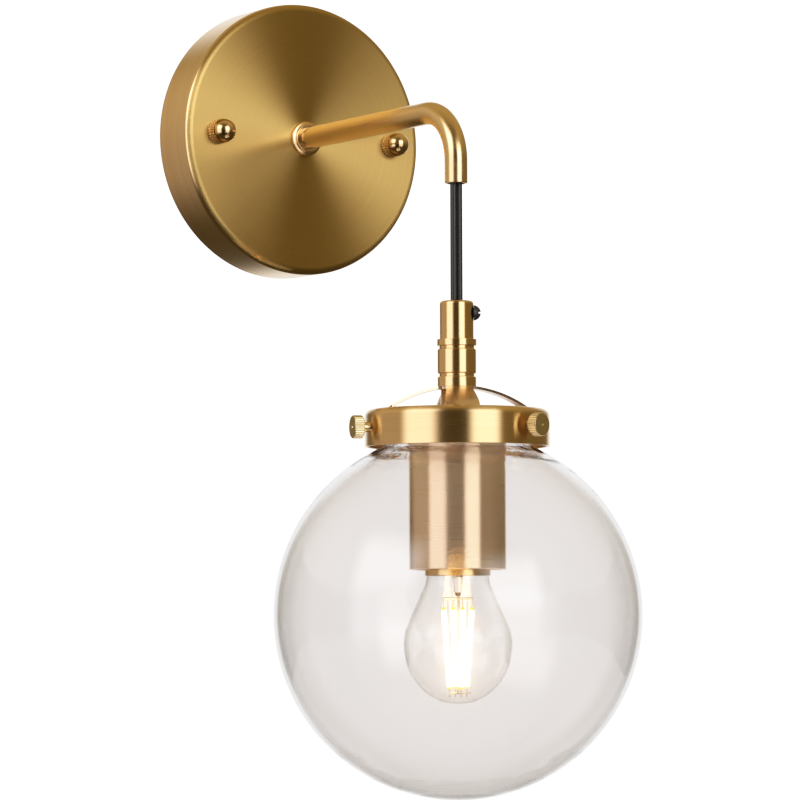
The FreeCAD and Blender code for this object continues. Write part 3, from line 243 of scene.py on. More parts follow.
def volume(points, faces):
    """Six times the signed volume: the sum of a . (b x c) over the faces' two triangles."""
    a, b, c, d = (points[faces[:, k]] for k in range(4))
    return np.einsum("ij,ij->", a, np.cross(b, c)) + np.einsum("ij,ij->", a, np.cross(c, d))


def skin_mesh(name, skins, sharp=32):
    """One mesh of several skins. The UV map has u once round the columns and v in metres along the rows."""
    points, faces, us, vs, slots, first = [], [], [], [], [], 0
    for skin in skins:
        rows, cols = skin.points.shape[:2]
        flat = skin.points.reshape(-1, 3)
        row = np.arange(rows if skin.looped else rows - 1)[:, None]
        col = np.arange(cols)[None]
        after, nextcol = (row + 1) % rows, (col + 1) % cols
        here, there = row * cols, after * cols
        quads = np.stack([here + col, here + nextcol, there + nextcol, there + col], -1).reshape(-1, 4)
        ring = np.vstack([skin.points[:, 0], skin.points[:1, 0]])
        run = np.concatenate([[0], np.cumsum(np.linalg.norm(np.diff(ring, axis=0), axis=1))])
        u = np.stack(np.broadcast_arrays(col / cols, (col + 1) / cols, (col + 1) / cols, col / cols), -1)
        u = np.broadcast_to(u, (len(row), cols, 4)).reshape(-1, 4)
        v = np.stack([run[row], run[row], run[row + 1], run[row + 1]], -1)
        v = np.broadcast_to(v, (len(row), cols, 4)).reshape(-1, 4)
        if volume(flat, quads) < 0:
            quads, u, v = quads[:, ::-1], u[:, ::-1], v[:, ::-1]
        points.append(flat)
        faces.append(quads + first)
        us.append(u)
        vs.append(v)
        material = np.broadcast_to(np.asarray(skin.material).reshape(-1, 1), (len(row), cols))
        slots.append(material.reshape(-1))
        first += len(flat)
    faces = np.vstack(faces)
    mesh = bpy.data.meshes.new(name)
    mesh.from_pydata(np.vstack(points).tolist(), [], faces.tolist())
    uv = mesh.uv_layers.new(name="UVMap")
    uv.data.foreach_set("uv", np.column_stack([np.vstack(us).ravel(), np.vstack(vs).ravel()]).ravel())
    mesh.polygons.foreach_set("material_index", np.concatenate(slots).astype(np.int32))
    cleaned = bmesh.new()
    cleaned.from_mesh(mesh)
    bmesh.ops.remove_doubles(cleaned, verts=cleaned.verts, dist=1e-7)
    cleaned.to_mesh(mesh)
    cleaned.free()
    mesh.shade_smooth()
    mesh.set_sharp_from_angle(angle=math.radians(sharp))
    return mesh


def piece(name, skins, body, slot, materials, *nodes, sharp=32):
    """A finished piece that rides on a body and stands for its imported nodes."""
    made = bpy.data.objects.new(name, skin_mesh(name, skins, sharp))
    bpy.context.scene.collection.objects.link(made)
    for material in materials:
        made.data.materials.append(material)
    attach(made, body)
    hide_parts(*nodes)
    return made


# ---------------- materials

class Tree:
    """Short hand for building a node tree."""

    def __init__(self, tree):
        self.nodes, self.links = tree.nodes, tree.links

    def add(self, kind, **values):
        node = self.nodes.new(kind)
        for name, value in values.items():
            setattr(node, name, value)
        return node

    def put(self, socket, value):
        """Joins a socket to a node's output, or sets its number or colour."""
        if isinstance(value, bpy.types.NodeSocket):
            self.links.new(value, socket)
        elif isinstance(value, (tuple, list)) and socket.type == "RGBA":
            socket.default_value = (*value[:3], 1)
        else:
            socket.default_value = value

    def math(self, operation, first, second=0.0):
        node = self.add("ShaderNodeMath", operation=operation)
        for socket, value in zip(node.inputs, (first, second)):
            self.put(socket, value)
        return node.outputs[0]

    def vector(self, operation, first, second):
        node = self.add("ShaderNodeVectorMath", operation=operation)
        self.put(node.inputs[0], first)
        self.put(node.inputs[1], second)
        return node.outputs["Value" if operation == "DOT_PRODUCT" else "Vector"]

    def ramp(self, value, low, high, start, end):
        node = self.add("ShaderNodeMapRange", interpolation_type="SMOOTHSTEP")
        for socket, part in zip(node.inputs, (value, low, high, start, end)):
            self.put(socket, part)
        return node.outputs[0]

    def mix(self, share, first, second):
        node = self.add("ShaderNodeMix", data_type="RGBA")
        self.put(node.inputs["Factor"], share)
        self.put(node.inputs[6], first)
        self.put(node.inputs[7], second)
        return node.outputs[2]

    def noise(self, vector, scale, detail=2.0, rough=0.5):
        node = self.add("ShaderNodeTexNoise")
        self.put(node.inputs["Vector"], vector)
        for name, value in (("Scale", scale), ("Detail", detail), ("Roughness", rough)):
            node.inputs[name].default_value = value
        return node.outputs["Fac"]


def new_material(name):
    material = bpy.data.materials.new(name)
    material.use_nodes = True
    tree = Tree(material.node_tree)
    shader = next(n for n in tree.nodes if n.type == "BSDF_PRINCIPLED")
    return material, tree, shader


def round_axis(tree, origin, turn):
    """Object coordinates seen from a turned piece's axis: (x, y, z) with z along the axis, and the radius."""
    place = tree.add("ShaderNodeMapping", vector_type="TEXTURE")
    tree.put(place.inputs["Vector"], tree.add("ShaderNodeTexCoord").outputs["Object"])
    place.inputs["Location"].default_value = origin
    place.inputs["Rotation"].default_value = turn
    parts = tree.add("ShaderNodeSeparateXYZ")
    tree.put(parts.inputs[0], place.outputs[0])
    x, y, z = parts.outputs
    radius = tree.math("SQRT", tree.math("ADD", tree.math("MULTIPLY", x, x), tree.math("MULTIPLY", y, y)))
    return x, y, z, radius


WALL_AXIS = ((0, 0, 0), (math.pi / 2, 0, 0))
HEAD_AXIS = ((0, -REACH, 0), (0, 0, 0))


def turned_brass(name, colour, rough, stretch, axis, line, brush=1.0, shade=0.06, uv=True):
    """Brass with lines round its axis: noise that is fine along height plus radius and long round the axis,
    in the colour, the roughness and a faint bump. The gloss is drawn out across the lines."""
    material, tree, shader = new_material(name)
    x, y, z, radius = round_axis(tree, *axis)
    lined = tree.add("ShaderNodeCombineXYZ")
    slow = 9.0
    tree.put(lined.inputs[0], tree.math("MULTIPLY", x, slow))
    tree.put(lined.inputs[1], tree.math("MULTIPLY", y, slow))
    tree.put(lined.inputs[2], tree.math("MULTIPLY", tree.math("ADD", z, radius), 1 / line))
    fine = tree.noise(lined.outputs[0], 1.0, 3.0, 0.6)
    coords = tree.add("ShaderNodeTexCoord").outputs["Object"]
    cloud = tree.noise(coords, 30.0, 3.0)
    deep = tuple(c * (1 - shade) * (0.97 - 0.05 * k) for k, c in enumerate(colour))
    tone = tree.math("ADD", tree.math("MULTIPLY", fine, 0.7), tree.math("MULTIPLY", cloud, 0.3))
    tree.put(shader.inputs["Base Color"], tree.mix(tree.ramp(tone, 0.3, 0.7, 0, 1), deep, tuple(colour)))
    tree.put(shader.inputs["Roughness"], tree.ramp(tone, 0.3, 0.7, rough * 1.03, rough * 0.97))
    shader.inputs["Metallic"].default_value = 1.0
    shader.inputs["Anisotropic"].default_value = stretch
    shader.inputs["Anisotropic Rotation"].default_value = 0.25
    tangent = tree.add("ShaderNodeTangent", direction_type="UV_MAP" if uv else "RADIAL", axis="Z")
    tree.put(shader.inputs["Tangent"], tangent.outputs[0])
    bump = tree.add("ShaderNodeBump")
    bump.inputs["Strength"].default_value = 0.5
    bump.inputs["Distance"].default_value = bpy.context.scene.sconce_finish.brush * brush
    tree.put(bump.inputs["Height"], fine)
    tree.put(shader.inputs["Normal"], bump.outputs[0])
    return material


def cast(name, colour, rough, metal=0.0, grain=400.0, depth=0.02 * MM, vary=0.12, coat=0.0):
    """Plain finish with a fine grain: noise on Object coordinates in the colour, the roughness and a bump."""
    material, tree, shader = new_material(name)
    coords = tree.add("ShaderNodeTexCoord").outputs["Object"]
    speck, cloud = tree.noise(coords, grain, 3.0), tree.noise(coords, grain / 12, 2.0)
    dark = tuple(c * (1 - vary) for c in colour)
    tree.put(shader.inputs["Base Color"], tree.mix(cloud, dark, tuple(colour)))
    tree.put(shader.inputs["Roughness"], tree.ramp(cloud, 0.3, 0.7, rough * 1.15, rough * 0.85))
    shader.inputs["Metallic"].default_value = metal
    shader.inputs["Coat Weight"].default_value = coat
    bump = tree.add("ShaderNodeBump")
    bump.inputs["Strength"].default_value = 0.4
    bump.inputs["Distance"].default_value = depth
    tree.put(bump.inputs["Height"], speck)
    tree.put(shader.inputs["Normal"], bump.outputs[0])
    return material


def clear_glass(name, colour, wave, scale, crackle=0.0, level=0.0, reach=0.0):
    """Clear glass whose faint waves are a low noise in its bump. A crackle, finer noise in a second bump,
    grows over a reach up to a level."""
    material, tree, shader = new_material(name)
    coords = tree.add("ShaderNodeTexCoord").outputs["Object"]
    shader.inputs["Base Color"].default_value = (*colour, 1)
    shader.inputs["Roughness"].default_value = 0.0
    shader.inputs["IOR"].default_value = 1.5
    shader.inputs["Transmission Weight"].default_value = 1.0
    bump = tree.add("ShaderNodeBump")
    bump.inputs["Strength"].default_value = 0.6
    bump.inputs["Distance"].default_value = wave
    tree.put(bump.inputs["Height"], tree.noise(coords, scale, 1.5))
    tree.put(shader.inputs["Normal"], bump.outputs[0])
    if crackle:
        parts = tree.add("ShaderNodeSeparateXYZ")
        tree.put(parts.inputs[0], coords)
        near = tree.ramp(parts.outputs[2], level - reach, level, 0, 1)
        fine = tree.add("ShaderNodeBump")
        fine.inputs["Strength"].default_value = 1.0
        fine.inputs["Distance"].default_value = crackle
        tree.put(fine.inputs["Height"], tree.math("MULTIPLY", tree.noise(coords, 150.0, 2.0, 0.55), near))
        tree.put(fine.inputs["Normal"], bump.outputs[0])
        tree.put(shader.inputs["Normal"], fine.outputs[0])
    return material


def glowing(name, colour, strength):
    """Lit phosphor: an even glow, a little deeper in colour where the coat's fine noise is thick."""
    material, tree, shader = new_material(name)
    coords = tree.add("ShaderNodeTexCoord").outputs["Object"]
    coat = tree.noise(coords, 900.0, 2.0)
    deep = (colour[0], colour[1] * 0.86, colour[2] * 0.7)
    tree.put(shader.inputs["Base Color"], tree.mix(coat, deep, tuple(colour)))
    tree.put(shader.inputs["Emission Color"], tree.mix(coat, deep, tuple(colour)))
    shader.inputs["Roughness"].default_value = 0.6
    shader.inputs["Emission Strength"].default_value = strength
    return material


def dress(material, *nodes):
    """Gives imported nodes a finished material."""
    for node in nodes:
        slots = frame["nodes"][node].data.materials
        slots.clear()
        slots.append(material)


# ---------------- wall side

def make_canopy(sizes, finish):
    radius, depth, edge, sheet = sizes.canopy_radius, sizes.canopy_depth, sizes.canopy_edge, sizes.sheet
    hole = sizes.tube_radius
    soft = 0.25 * MM
    face = rounded((hole, depth), (radius, depth, edge), (radius, 0, soft), (radius - sheet, 0, soft),
                   (radius - sheet, depth - sheet, edge - sheet), (hole, depth - sheet), steps=10)
    shell = denser(face, 3 * MM)
    out, up = shell.T
    rim = (out > radius - edge * 0.6) & (up < depth - edge * 0.3)
    inside = (out < radius - sheet * 0.9) & (up < depth - sheet * 0.9) | (up <= 0)
    materials = [
        # painted shade: the brushed face takes the darker copy of the brass, while the rim and the inside
        # keep the plain brass
        turned_brass("canopy_face_painted_shade_brass", finish.shaded_face_brass, 0.30, 0.97, WALL_AXIS, 0.2 * MM),
        turned_brass("canopy_rim_brass", finish.brass, 0.18, 0.3, WALL_AXIS, 2 * MM, 0.1, 0.03),
        turned_brass("canopy_inner_brass", finish.brass, 0.42, 0.3, WALL_AXIS, 0.8 * MM)]
    kind = np.where(inside, 2, np.where(rim, 1, 0))
    piece("canopy_shell", [turned(shell, WALL, 256, True, material=kind)], "wall_side", "canopy_brass",
          materials, "canopy")


def make_cap_nuts(sizes, finish):
    start = sizes.canopy_depth + 0.3 * MM
    rim, sink, neck, dome = 5.25 * MM, 4.75 * MM, 4.7 * MM, 5.0 * MM
    knurl_end, neck_end, tip = start + 5.2 * MM, start + 6.0 * MM, start + 10.6 * MM
    ball = (dome ** 2 + (tip - neck_end) ** 2) / (2 * (tip - neck_end))
    spread = math.degrees(math.asin(dome / ball))
    bore, bore_end, soft = 2.1 * MM, start + 7.4 * MM, 0.12 * MM
    body = rounded((0, bore_end), (bore, bore_end), (bore, start), (rim, start, soft),
                   (rim, start + 1.4 * MM, soft), (sink, start + 1.5 * MM), (sink, start + 2.0 * MM),
                   (rim, start + 2.1 * MM, soft), (rim, knurl_end, soft), (neck, knurl_end), (neck, neck_end),
                   (dome, neck_end, soft), steps=3)
    crown = arc((0, tip - ball), ball, 90 - spread, 90, 24)
    shift = knurled(sizes.nut_knurls, sizes.knurl_depth, start, knurl_end, rim - 0.3 * MM)
    materials = [turned_brass("nut_brass", finish.brass, 0.14, 0.3, WALL_AXIS, 0.6 * MM, 0.3)]
    for side, x in (("left", -STUD_PLACE), ("right", STUD_PLACE)):
        place = placed((x, 0, 0), (1, 0, 0), (0, 0, 1), (0, -1, 0))
        skin = turned(np.vstack([body, crown]), place, sizes.nut_knurls * 8, shift=shift)
        piece("acorn_nut_" + side, [skin], "cap_nut_" + side, "nut_brass", materials, "cap_nut_" + side)


def bent(sizes):
    """The arm's line as a place: level to the bend, round it by its arc, then down. Height is the length
    along it, counted from the wall plane, and its own normal and the X direction carry the section."""
    bend = sizes.bend_radius
    level = REACH - bend
    quarter = bend * math.pi / 2

    def place(local):
        s = local[..., 2]
        lean = np.clip((s - level) / bend, 0, math.pi / 2)
        past = np.maximum(s - level - quarter, 0)
        y = -np.minimum(s, level) - bend * np.sin(lean)
        z = -bend * (1 - np.cos(lean)) - past
        normal = np.stack([np.zeros_like(s), -np.sin(lean), np.cos(lean)], -1)
        line = np.stack([np.zeros_like(s), y, z], -1)
        return line + local[..., :1] * np.array([1.0, 0, 0]) + local[..., 1:2] * normal
    return place, level + quarter


def make_arm(sizes, finish):
    place, bend_end = bent(sizes)
    outer, inner = sizes.tube_radius, sizes.tube_radius - 1.0 * MM
    start = -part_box("arm_tube")[1][1]
    end = bend_end - sizes.bend_radius - node_low("arm_tube")
    wall = rounded((inner, start), (outer, start, 0.2 * MM), (outer, end, 0.4 * MM), (inner, end, 0.15 * MM),
                   steps=5)
    wall = denser(np.vstack([wall, wall[:1]]), 1.6 * MM)[:-1]
    tube = turned(wall, place, 72, True)
    material = cast("arm_satin_brass", finish.brass, 0.21, 1.0, 1400.0, 0.0004 * MM, 0.03)
    piece("bent_arm", [tube], "wall_side", "arm_brass", [material], "arm_tube")
    face, base, step = sizes.canopy_depth, 7.5 * MM, 6.2 * MM
    base_top, step_low, step_top = face + 1.7 * MM, face + 2.1 * MM, face + 3.0 * MM
    ring = rounded((outer, face), (base, face), (base, base_top, 0.5 * MM), (step, step_low, 0.2 * MM),
                   (step, step_top, 0.4 * MM), (outer, step_top))
    collar = turned_brass("collar_brass", finish.brass, 0.2, 0.3, WALL_AXIS, 0.4 * MM, 0.4)
    piece("collar_ring", [turned(ring, WALL, 96, True)], "wall_side", "turned_brass", [collar], "arm_collar")


# ---------------- cord

def make_cord(sizes, finish):
    """Two round cores side by side, their outline carried down a smooth line from the mouth to the grip."""
    top, low = node_top("cord_drop"), node_low("cord_drop")
    route = [(0, -REACH, top), (0, -REACH, (top + low) / 2), (0, -REACH, low)]
    line = bpy.data.curves.new("cord_line", "CURVE")
    line.dimensions = "3D"
    line.resolution_u = 24
    spline = line.splines.new("NURBS")
    spline.points.add(len(route) - 1)
    spline.points.foreach_set("co", [c for point in route for c in (*point, 1.0)])
    spline.order_u = 3
    spline.use_endpoint_u = True
    guide = bpy.data.objects.new("cord_line", line)
    bpy.context.scene.collection.objects.link(guide)
    carried = bpy.data.meshes.new_from_object(guide)
    path = np.array([v.co[:] for v in carried.vertices])
    bpy.data.objects.remove(guide)
    bpy.data.meshes.remove(carried)
    waist = math.degrees(math.acos(-sizes.core_offset / sizes.core_radius))
    right = arc((sizes.core_offset, 0), sizes.core_radius, -waist, waist, 26)
    left = arc((-sizes.core_offset, 0), sizes.core_radius, 180 - waist, 180 + waist, 26)
    outline = np.vstack([right[:-1], left[:-1]])
    grow = np.ones((len(path) + 2, 1))
    grow[[0, -1]] = 0
    spine = np.vstack([path[:1], path, path[-1:]])
    section = np.column_stack([outline, np.zeros(len(outline))])
    skin = Skin(spine[:, None] + section[None] * grow[:, None])
    jacket = cast("cord_jacket", finish.cord, 0.34, 0.0, 700.0, 0.01 * MM, 0.3)
    flex = piece("cord_flex", [skin], "cord", "cord_black", [jacket], "cord_drop", sharp=50)
    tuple(route[0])


# ---------------- hanging head

BORE = 5.05 * MM


def satin_brass(name, colour, rough=0.28, stretch=0.97):
    """Satin brass of the head: fine lines round its axis, hardly any bump and little change of tone."""
    return turned_brass(name, colour, rough, stretch, HEAD_AXIS, 0.25 * MM, 0.04, 0.02)


def head_piece(name, profile, count, slot, material, node):
    """A closed profile turned about the head's axis."""
    piece(name, [turned(profile, HEAD, count, True)], "head", slot, [material], node)


def make_grip_stack(sizes, finish):
    """Grip, coupling sleeve, clamp ring and neck, all turned about the head's axis."""
    satin, slot, count = satin_brass("stack_brass", finish.brass, 0.25, 0.95), "turned_brass", 96
    barrel, groove, flange, grip_radius, neck_radius = 8 * MM, 7.25 * MM, 8.15 * MM, 7 * MM, 6.65 * MM
    top, low, entry, hole, cone = node_top("cord_grip"), node_low("cord_grip"), 6 * MM, 3.4 * MM, 0.5 * MM
    grip = rounded((hole, low + entry), (hole, top - cone), (hole + cone, top), (grip_radius, top, 1.3 * MM),
                   (grip_radius, low, 0.12 * MM), (BORE, low), (BORE, low + entry))
    head_piece("turned_grip", grip, count, slot, satin, "cord_grip")
    top, low, soft, round_edge = node_top("coupling_sleeve"), node_low("coupling_sleeve"), 0.18 * MM, 0.6 * MM
    flange_low, shoulder, foot = top - 2.7 * MM, top - 3.9 * MM, low + 1.1 * MM
    sleeve = rounded((BORE, top), (flange, top, soft), (flange, flange_low, soft), (groove, flange_low),
                     (groove, shoulder), (barrel, shoulder, round_edge), (barrel, foot, round_edge),
                     (groove, foot), (groove, low), (BORE, low))
    head_piece("turned_sleeve", sleeve, count, slot, satin, "coupling_sleeve")
    top, low = node_top("clamp_ring"), node_low("clamp_ring")
    ring = rounded((BORE, top), (barrel, top, 0.5 * MM), (barrel, low, soft), (BORE, low))
    head_piece("turned_clamp", ring, count, slot, satin, "clamp_ring")
    top, low = node_top("neck_sleeve"), node_low("neck_sleeve")
    neck = rounded((BORE, top), (neck_radius, top, soft), (neck_radius, low, soft), (BORE, low))
    head_piece("turned_neck", neck, 80, slot, satin, "neck_sleeve")


def make_ring(sizes, finish):
    top, low = node_top("gallery_ring"), node_low("gallery_ring")
    past_cup, lip, hem = 17.9 * MM, 0.3 * MM, 0.25 * MM
    outer = node_size("holder_cup")[0] / 2 + past_cup
    inner, opening, sheet = outer - sizes.sheet, 33 * MM, sizes.sheet
    wall = rounded((opening, top, lip), (outer, top, 3 * MM), (outer, low, hem), (inner, low, hem),
                   (inner, top - sheet, 1.8 * MM), (opening, top - sheet, lip), steps=10)
    head_piece("spun_ring", denser(wall, 2 * MM), 256, "ring_brass",
               satin_brass("ring_satin_brass", finish.brass), "gallery_ring")


def make_thumbscrews(sizes, finish):
    seat, face, tip = 40.95 * MM, 45.05 * MM, 30.05 * MM
    rim, shank, soft, cut = 4.8 * MM, 2.0 * MM, 0.12 * MM, 0.35 * MM
    dimple, margin = face - 0.4 * MM, 0.1 * MM
    profile = rounded((0, tip), (shank - cut, tip, soft), (shank, tip + cut, soft), (shank, seat),
                      (rim - cut, seat, soft), (rim, seat + cut, soft), (rim, face - cut, soft),
                      (rim - cut, face, soft), (0.6 * MM, face, 0.1 * MM), (0.25 * MM, dimple), (0, dimple),
                      steps=3)
    shift = knurled(sizes.screw_knurls, sizes.knurl_depth, seat + margin, face - margin, rim - 0.6 * MM)
    ways = {joint["child"]: joint["axis"] for joint in frame["joints"]}
    for letter in "abc":
        x, y, _ = ways["thumbscrew_" + letter]
        yaw = math.atan2(y, x)
        axis = ((0, -REACH, SCREW_LEVEL), (0, math.pi / 2, yaw))
        brass = turned_brass("screw_brass_" + letter, finish.bright_brass, 0.2, 0.4, axis, 0.25 * MM, 1.6)
        place = outwards(yaw, SCREW_LEVEL)
        skin = turned(denser(profile, 1 * MM), place, sizes.screw_knurls * 8, shift=shift)
        piece("knurled_screw_" + letter, [skin], "thumbscrew_" + letter, "thumbscrew_brass", [brass],
              "thumbscrew_" + letter)


def make_cup(sizes, finish):
    top, low = node_top("holder_cup"), node_low("holder_cup")
    outer, wall = node_size("holder_cup")[0] / 2, 1.0 * MM
    inner, hem = outer - wall, 0.3 * MM
    shell = rounded((BORE, top), (outer, top, 3 * MM), (outer, low, hem), (inner, low, hem),
                    (inner, top - wall, 2 * MM), (BORE, top - wall), steps=10)
    head_piece("drawn_cup", denser(shell, 3 * MM), 160, "ring_brass",
               satin_brass("cup_satin_brass", finish.cup_brass), "holder_cup")


def make_globe(sizes, finish):
    """A ball, a short neck and a rolled lip, with small waves of the radius round the neck and shoulder."""
    ball, wall, neck, fillet = sizes.globe_radius, sizes.globe_wall, 29.75 * MM, 3 * MM
    lip_radius, lip_top = 31.5 * MM, node_top("glass_globe")
    lip_low, middle = lip_top - 2 * MM, (0, node_low("glass_globe") + ball)
    corner = neck + fillet
    rise = math.sqrt((ball + fillet) ** 2 - corner ** 2)
    meet = math.degrees(math.atan2(rise, corner))
    turn_level = middle[1] + rise
    outside = np.vstack([arc(middle, ball, -90, meet, 110)[:-1],
                         arc((corner, turn_level), fillet, meet + 180, 180, 8)[1:]])
    inside = np.vstack([arc((corner, turn_level), fillet + wall, 180, meet + 180, 8),
                        arc(middle, ball - wall, meet, -90, 110)[1:]])
    lip = rounded((neck, lip_low), (lip_radius, lip_low, 0.6 * MM), (lip_radius, lip_top, 0.7 * MM),
                  (neck - wall, lip_top, 0.7 * MM), steps=6)
    profile = denser(np.vstack([outside, lip, inside]), 2 * MM)
    swell_below, swell_run = 22 * MM, 26 * MM

    def shift(radius, height, turn):
        near_neck = np.clip((height - turn_level + swell_below) / swell_run, 0, 1) ** 2
        lip_part = height > lip_low - 0.5 * MM
        wave = (np.sin(7 * turn + 900 * height) + np.sin(11 * turn - 640 * height + 1) +
                np.sin(4 * turn + 1500 * height + 2)) / 3
        inner = radius < np.sqrt(np.maximum((ball - wall / 2) ** 2 - (height - middle[1]) ** 2, 0))
        return sizes.globe_wave * near_neck * wave * np.where(inner, 1.0, 0.4) * ~lip_part

    material = clear_glass("globe_clear_glass", finish.glass, 0.05 * MM, 16.0, crackle=0.35 * MM,
                           level=turn_level + 2 * MM, reach=12 * MM)
    piece("blown_globe", [turned(profile, HEAD, 256, shift=shift)], "head", "globe_glass", [material],
          "glass_globe")


# ---------------- bulb

def make_bulb(sizes, finish):
    ball, wall, slant, egg = sizes.bulb_radius, 0.6 * MM, math.radians(25), 2 * MM
    neck, flow, run = 12.9 * MM, 14 * MM, 6 * MM
    middle = (0, node_low("bulb_glass") + ball + egg)
    top = node_top("bulb_glass")
    slope = math.tan(slant)
    cone_end = middle[1] + ball * math.sin(slant) + (ball * math.cos(slant) - neck) / slope
    inner_end = cone_end - wall * math.tan(slant / 2)

    def bowl(radius):
        """A ball up to the cone's start, its lower half drawn out to reach lower by the egg."""
        around = arc(middle, radius, -90, math.degrees(slant), 72)
        below = np.minimum(around[:, 1] - middle[1], 0)
        around[:, 1] += below * egg / radius
        return around

    throat = neck - wall
    outer = np.vstack([bowl(ball), rounded((neck + run * slope, cone_end - run), (neck, cone_end, flow),
                                           (neck, top), steps=12)[1:]])
    inner = np.vstack([rounded((throat, top), (throat, inner_end, flow),
                               (throat + run * slope, inner_end - run), steps=12)[:-1],
                       bowl(ball - wall)[::-1]])
    glass = clear_glass("bulb_clear_glass", (1.0, 1.0, 1.0), 0.01 * MM, 20.0)
    piece("bulb_envelope", [turned(np.vstack([outer, inner]), HEAD, 128)], "bulb", "bulb_clear", [glass],
          "bulb_glass")
    top, low = node_top("bulb_stem"), node_low("bulb_stem")
    flare, press = 12.05 * MM, 1.8 * MM
    stem = rounded((0, top), (flare, top), (flare, top - 0.8 * MM, 0.3 * MM),
                   (2.3 * MM, top - 3 * MM, 1.5 * MM), (press, low + press, 1 * MM),
                   (0.9 * MM, low, 0.4 * MM), (0, low))
    piece("bulb_glass_stem", [turned(stem, HEAD, 64)], "bulb", "bulb_clear", [glass], "bulb_stem")


def tilted(start, end):
    """A place along the line from one point to another, and that line's length."""
    start, end = np.array(start), np.array(end)
    along = (end - start) / np.linalg.norm(end - start)
    across = np.cross(along, (0.3, 0.9, 0.1))
    across /= np.linalg.norm(across)
    return placed(start, across, np.cross(along, across), along), np.linalg.norm(end - start)


def make_filaments(sizes, finish):
    """Four lit rods that lean together downwards, each with a dim orange end above and below."""
    top, low = node_top("filaments"), node_low("filaments")
    turn, upper_ring, lower_ring, radius = math.radians(74.5), 6.1 * MM, 3.7 * MM, sizes.filament_radius
    rods, tips = [], []
    tip, pin, overlap = 1.1 * MM, radius * 0.8, 0.1 * MM
    for quarter in range(4):
        a = turn + quarter * FULL / 4
        spots = [(ring * math.cos(a), -REACH + ring * math.sin(a), level)
                 for ring, level in ((upper_ring, top), (lower_ring, low))]
        place, length = tilted(*spots)
        rods.append(turned(rounded((0, tip), (radius, tip, 0.4 * MM), (radius, length - tip, 0.4 * MM),
                                   (0, length - tip)), place, 24))
        for near, far in ((0.0, tip + overlap), (length - tip - overlap, length)):
            end = rounded((0, near), (pin, near, 0.15 * MM), (pin, far, 0.15 * MM), (0, far))
            tips.append(turned(end, place, 20, material=1))
    lit = glowing("filament_glow", finish.glow, finish.glow_strength)
    ends = glowing("filament_tip", (1.0, 0.55, 0.08), 1.6)
    piece("lit_filaments", rods + tips, "bulb", "filament_yellow", [lit, ends], "filaments")


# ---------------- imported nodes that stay

def dress_nodes(finish):
    """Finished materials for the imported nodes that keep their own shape."""
    dress(turned_brass("spider_brass", finish.cup_brass, 0.24, 0.3, HEAD_AXIS, 0.6 * MM, 0.2, uv=False),
          "spider")
    dress(turned_brass("machined_brass", finish.bright_brass, 0.3, 0.4, HEAD_AXIS, 0.3 * MM, uv=False),
          "threaded_nipple", "cup_washer", "cup_lock_nut", "screw_shell", "socket_contact", "screw_bosses",
          "socket_terminals")
    dress(turned_brass("wall_machined_brass", finish.bright_brass, 0.3, 0.4, WALL_AXIS, 0.3 * MM, uv=False),
          "arm_washer", "arm_lock_nut")
    dress(cast("zinc_steel", (0.62, 0.63, 0.62), 0.34, 1.0, 260.0, 0.01 * MM), "crossbar", "canopy_studs",
          "stud_nuts", "terminal_screws")
    dress(cast("green_screw", (0.03, 0.26, 0.07), 0.35, 0.6, 500.0), "ground_screw")
    dress(cast("cord_jacket_inside", finish.cord, 0.4, 0.0, 700.0), "cord_in_arm", "cord_in_head")
    dress(cast("nylon_black", (0.014, 0.014, 0.015), 0.5, 0.0, 600.0, 0.01 * MM), "grip_screw",
          "cord_retainer")
    dress(cast("terminal_white", (0.78, 0.78, 0.74), 0.5, 0.0, 500.0), "terminal_block")
    dress(cast("porcelain", (0.86, 0.85, 0.81), 0.12, 0.0, 90.0, 0.01 * MM, 0.04, 0.5), "lamp_socket")
    dress(cast("cap_brass", (0.88, 0.60, 0.30), 0.24, 1.0, 300.0), "bulb_cap", "bulb_contact")
    dress(cast("black_glass", (0.012, 0.012, 0.014), 0.08, 0.0, 200.0, 0.004 * MM), "bulb_insulator")
    dress(cast("bare_wire", (0.86, 0.80, 0.70), 0.35, 1.0, 800.0), "filament_frame")


# ---------------- studio

def soft_box(tree, way, azimuth, elevation, wide, tall, soft, fade):
    """Share of light from a soft-edged box in the room: the smooth steps of the direction's parts across and
    up the box's face, in front of it. Its place and half sizes are in degrees, its soft edges in sines."""
    a, e = math.radians(azimuth), math.radians(elevation)
    facing = (math.cos(a) * math.cos(e), math.sin(a) * math.cos(e), math.sin(e))
    across = (-math.sin(a), math.cos(a), 0)
    up = tuple(np.cross(facing, across))
    share = tree.ramp(tree.vector("DOT_PRODUCT", way, facing), 0.0, 0.05, 0, 1)
    for side, half, edge in ((across, wide, soft), (up, tall, fade)):
        half = math.sin(math.radians(half))
        off = tree.math("ABSOLUTE", tree.vector("DOT_PRODUCT", way, side))
        share = tree.math("MULTIPLY", share, tree.ramp(off, half - edge, half + edge, 1, 0))
    return share


def grey(tree, value):
    """The same number in three channels."""
    joined = tree.add("ShaderNodeCombineXYZ")
    for socket in joined.inputs:
        tree.put(socket, value)
    return joined.outputs[0]


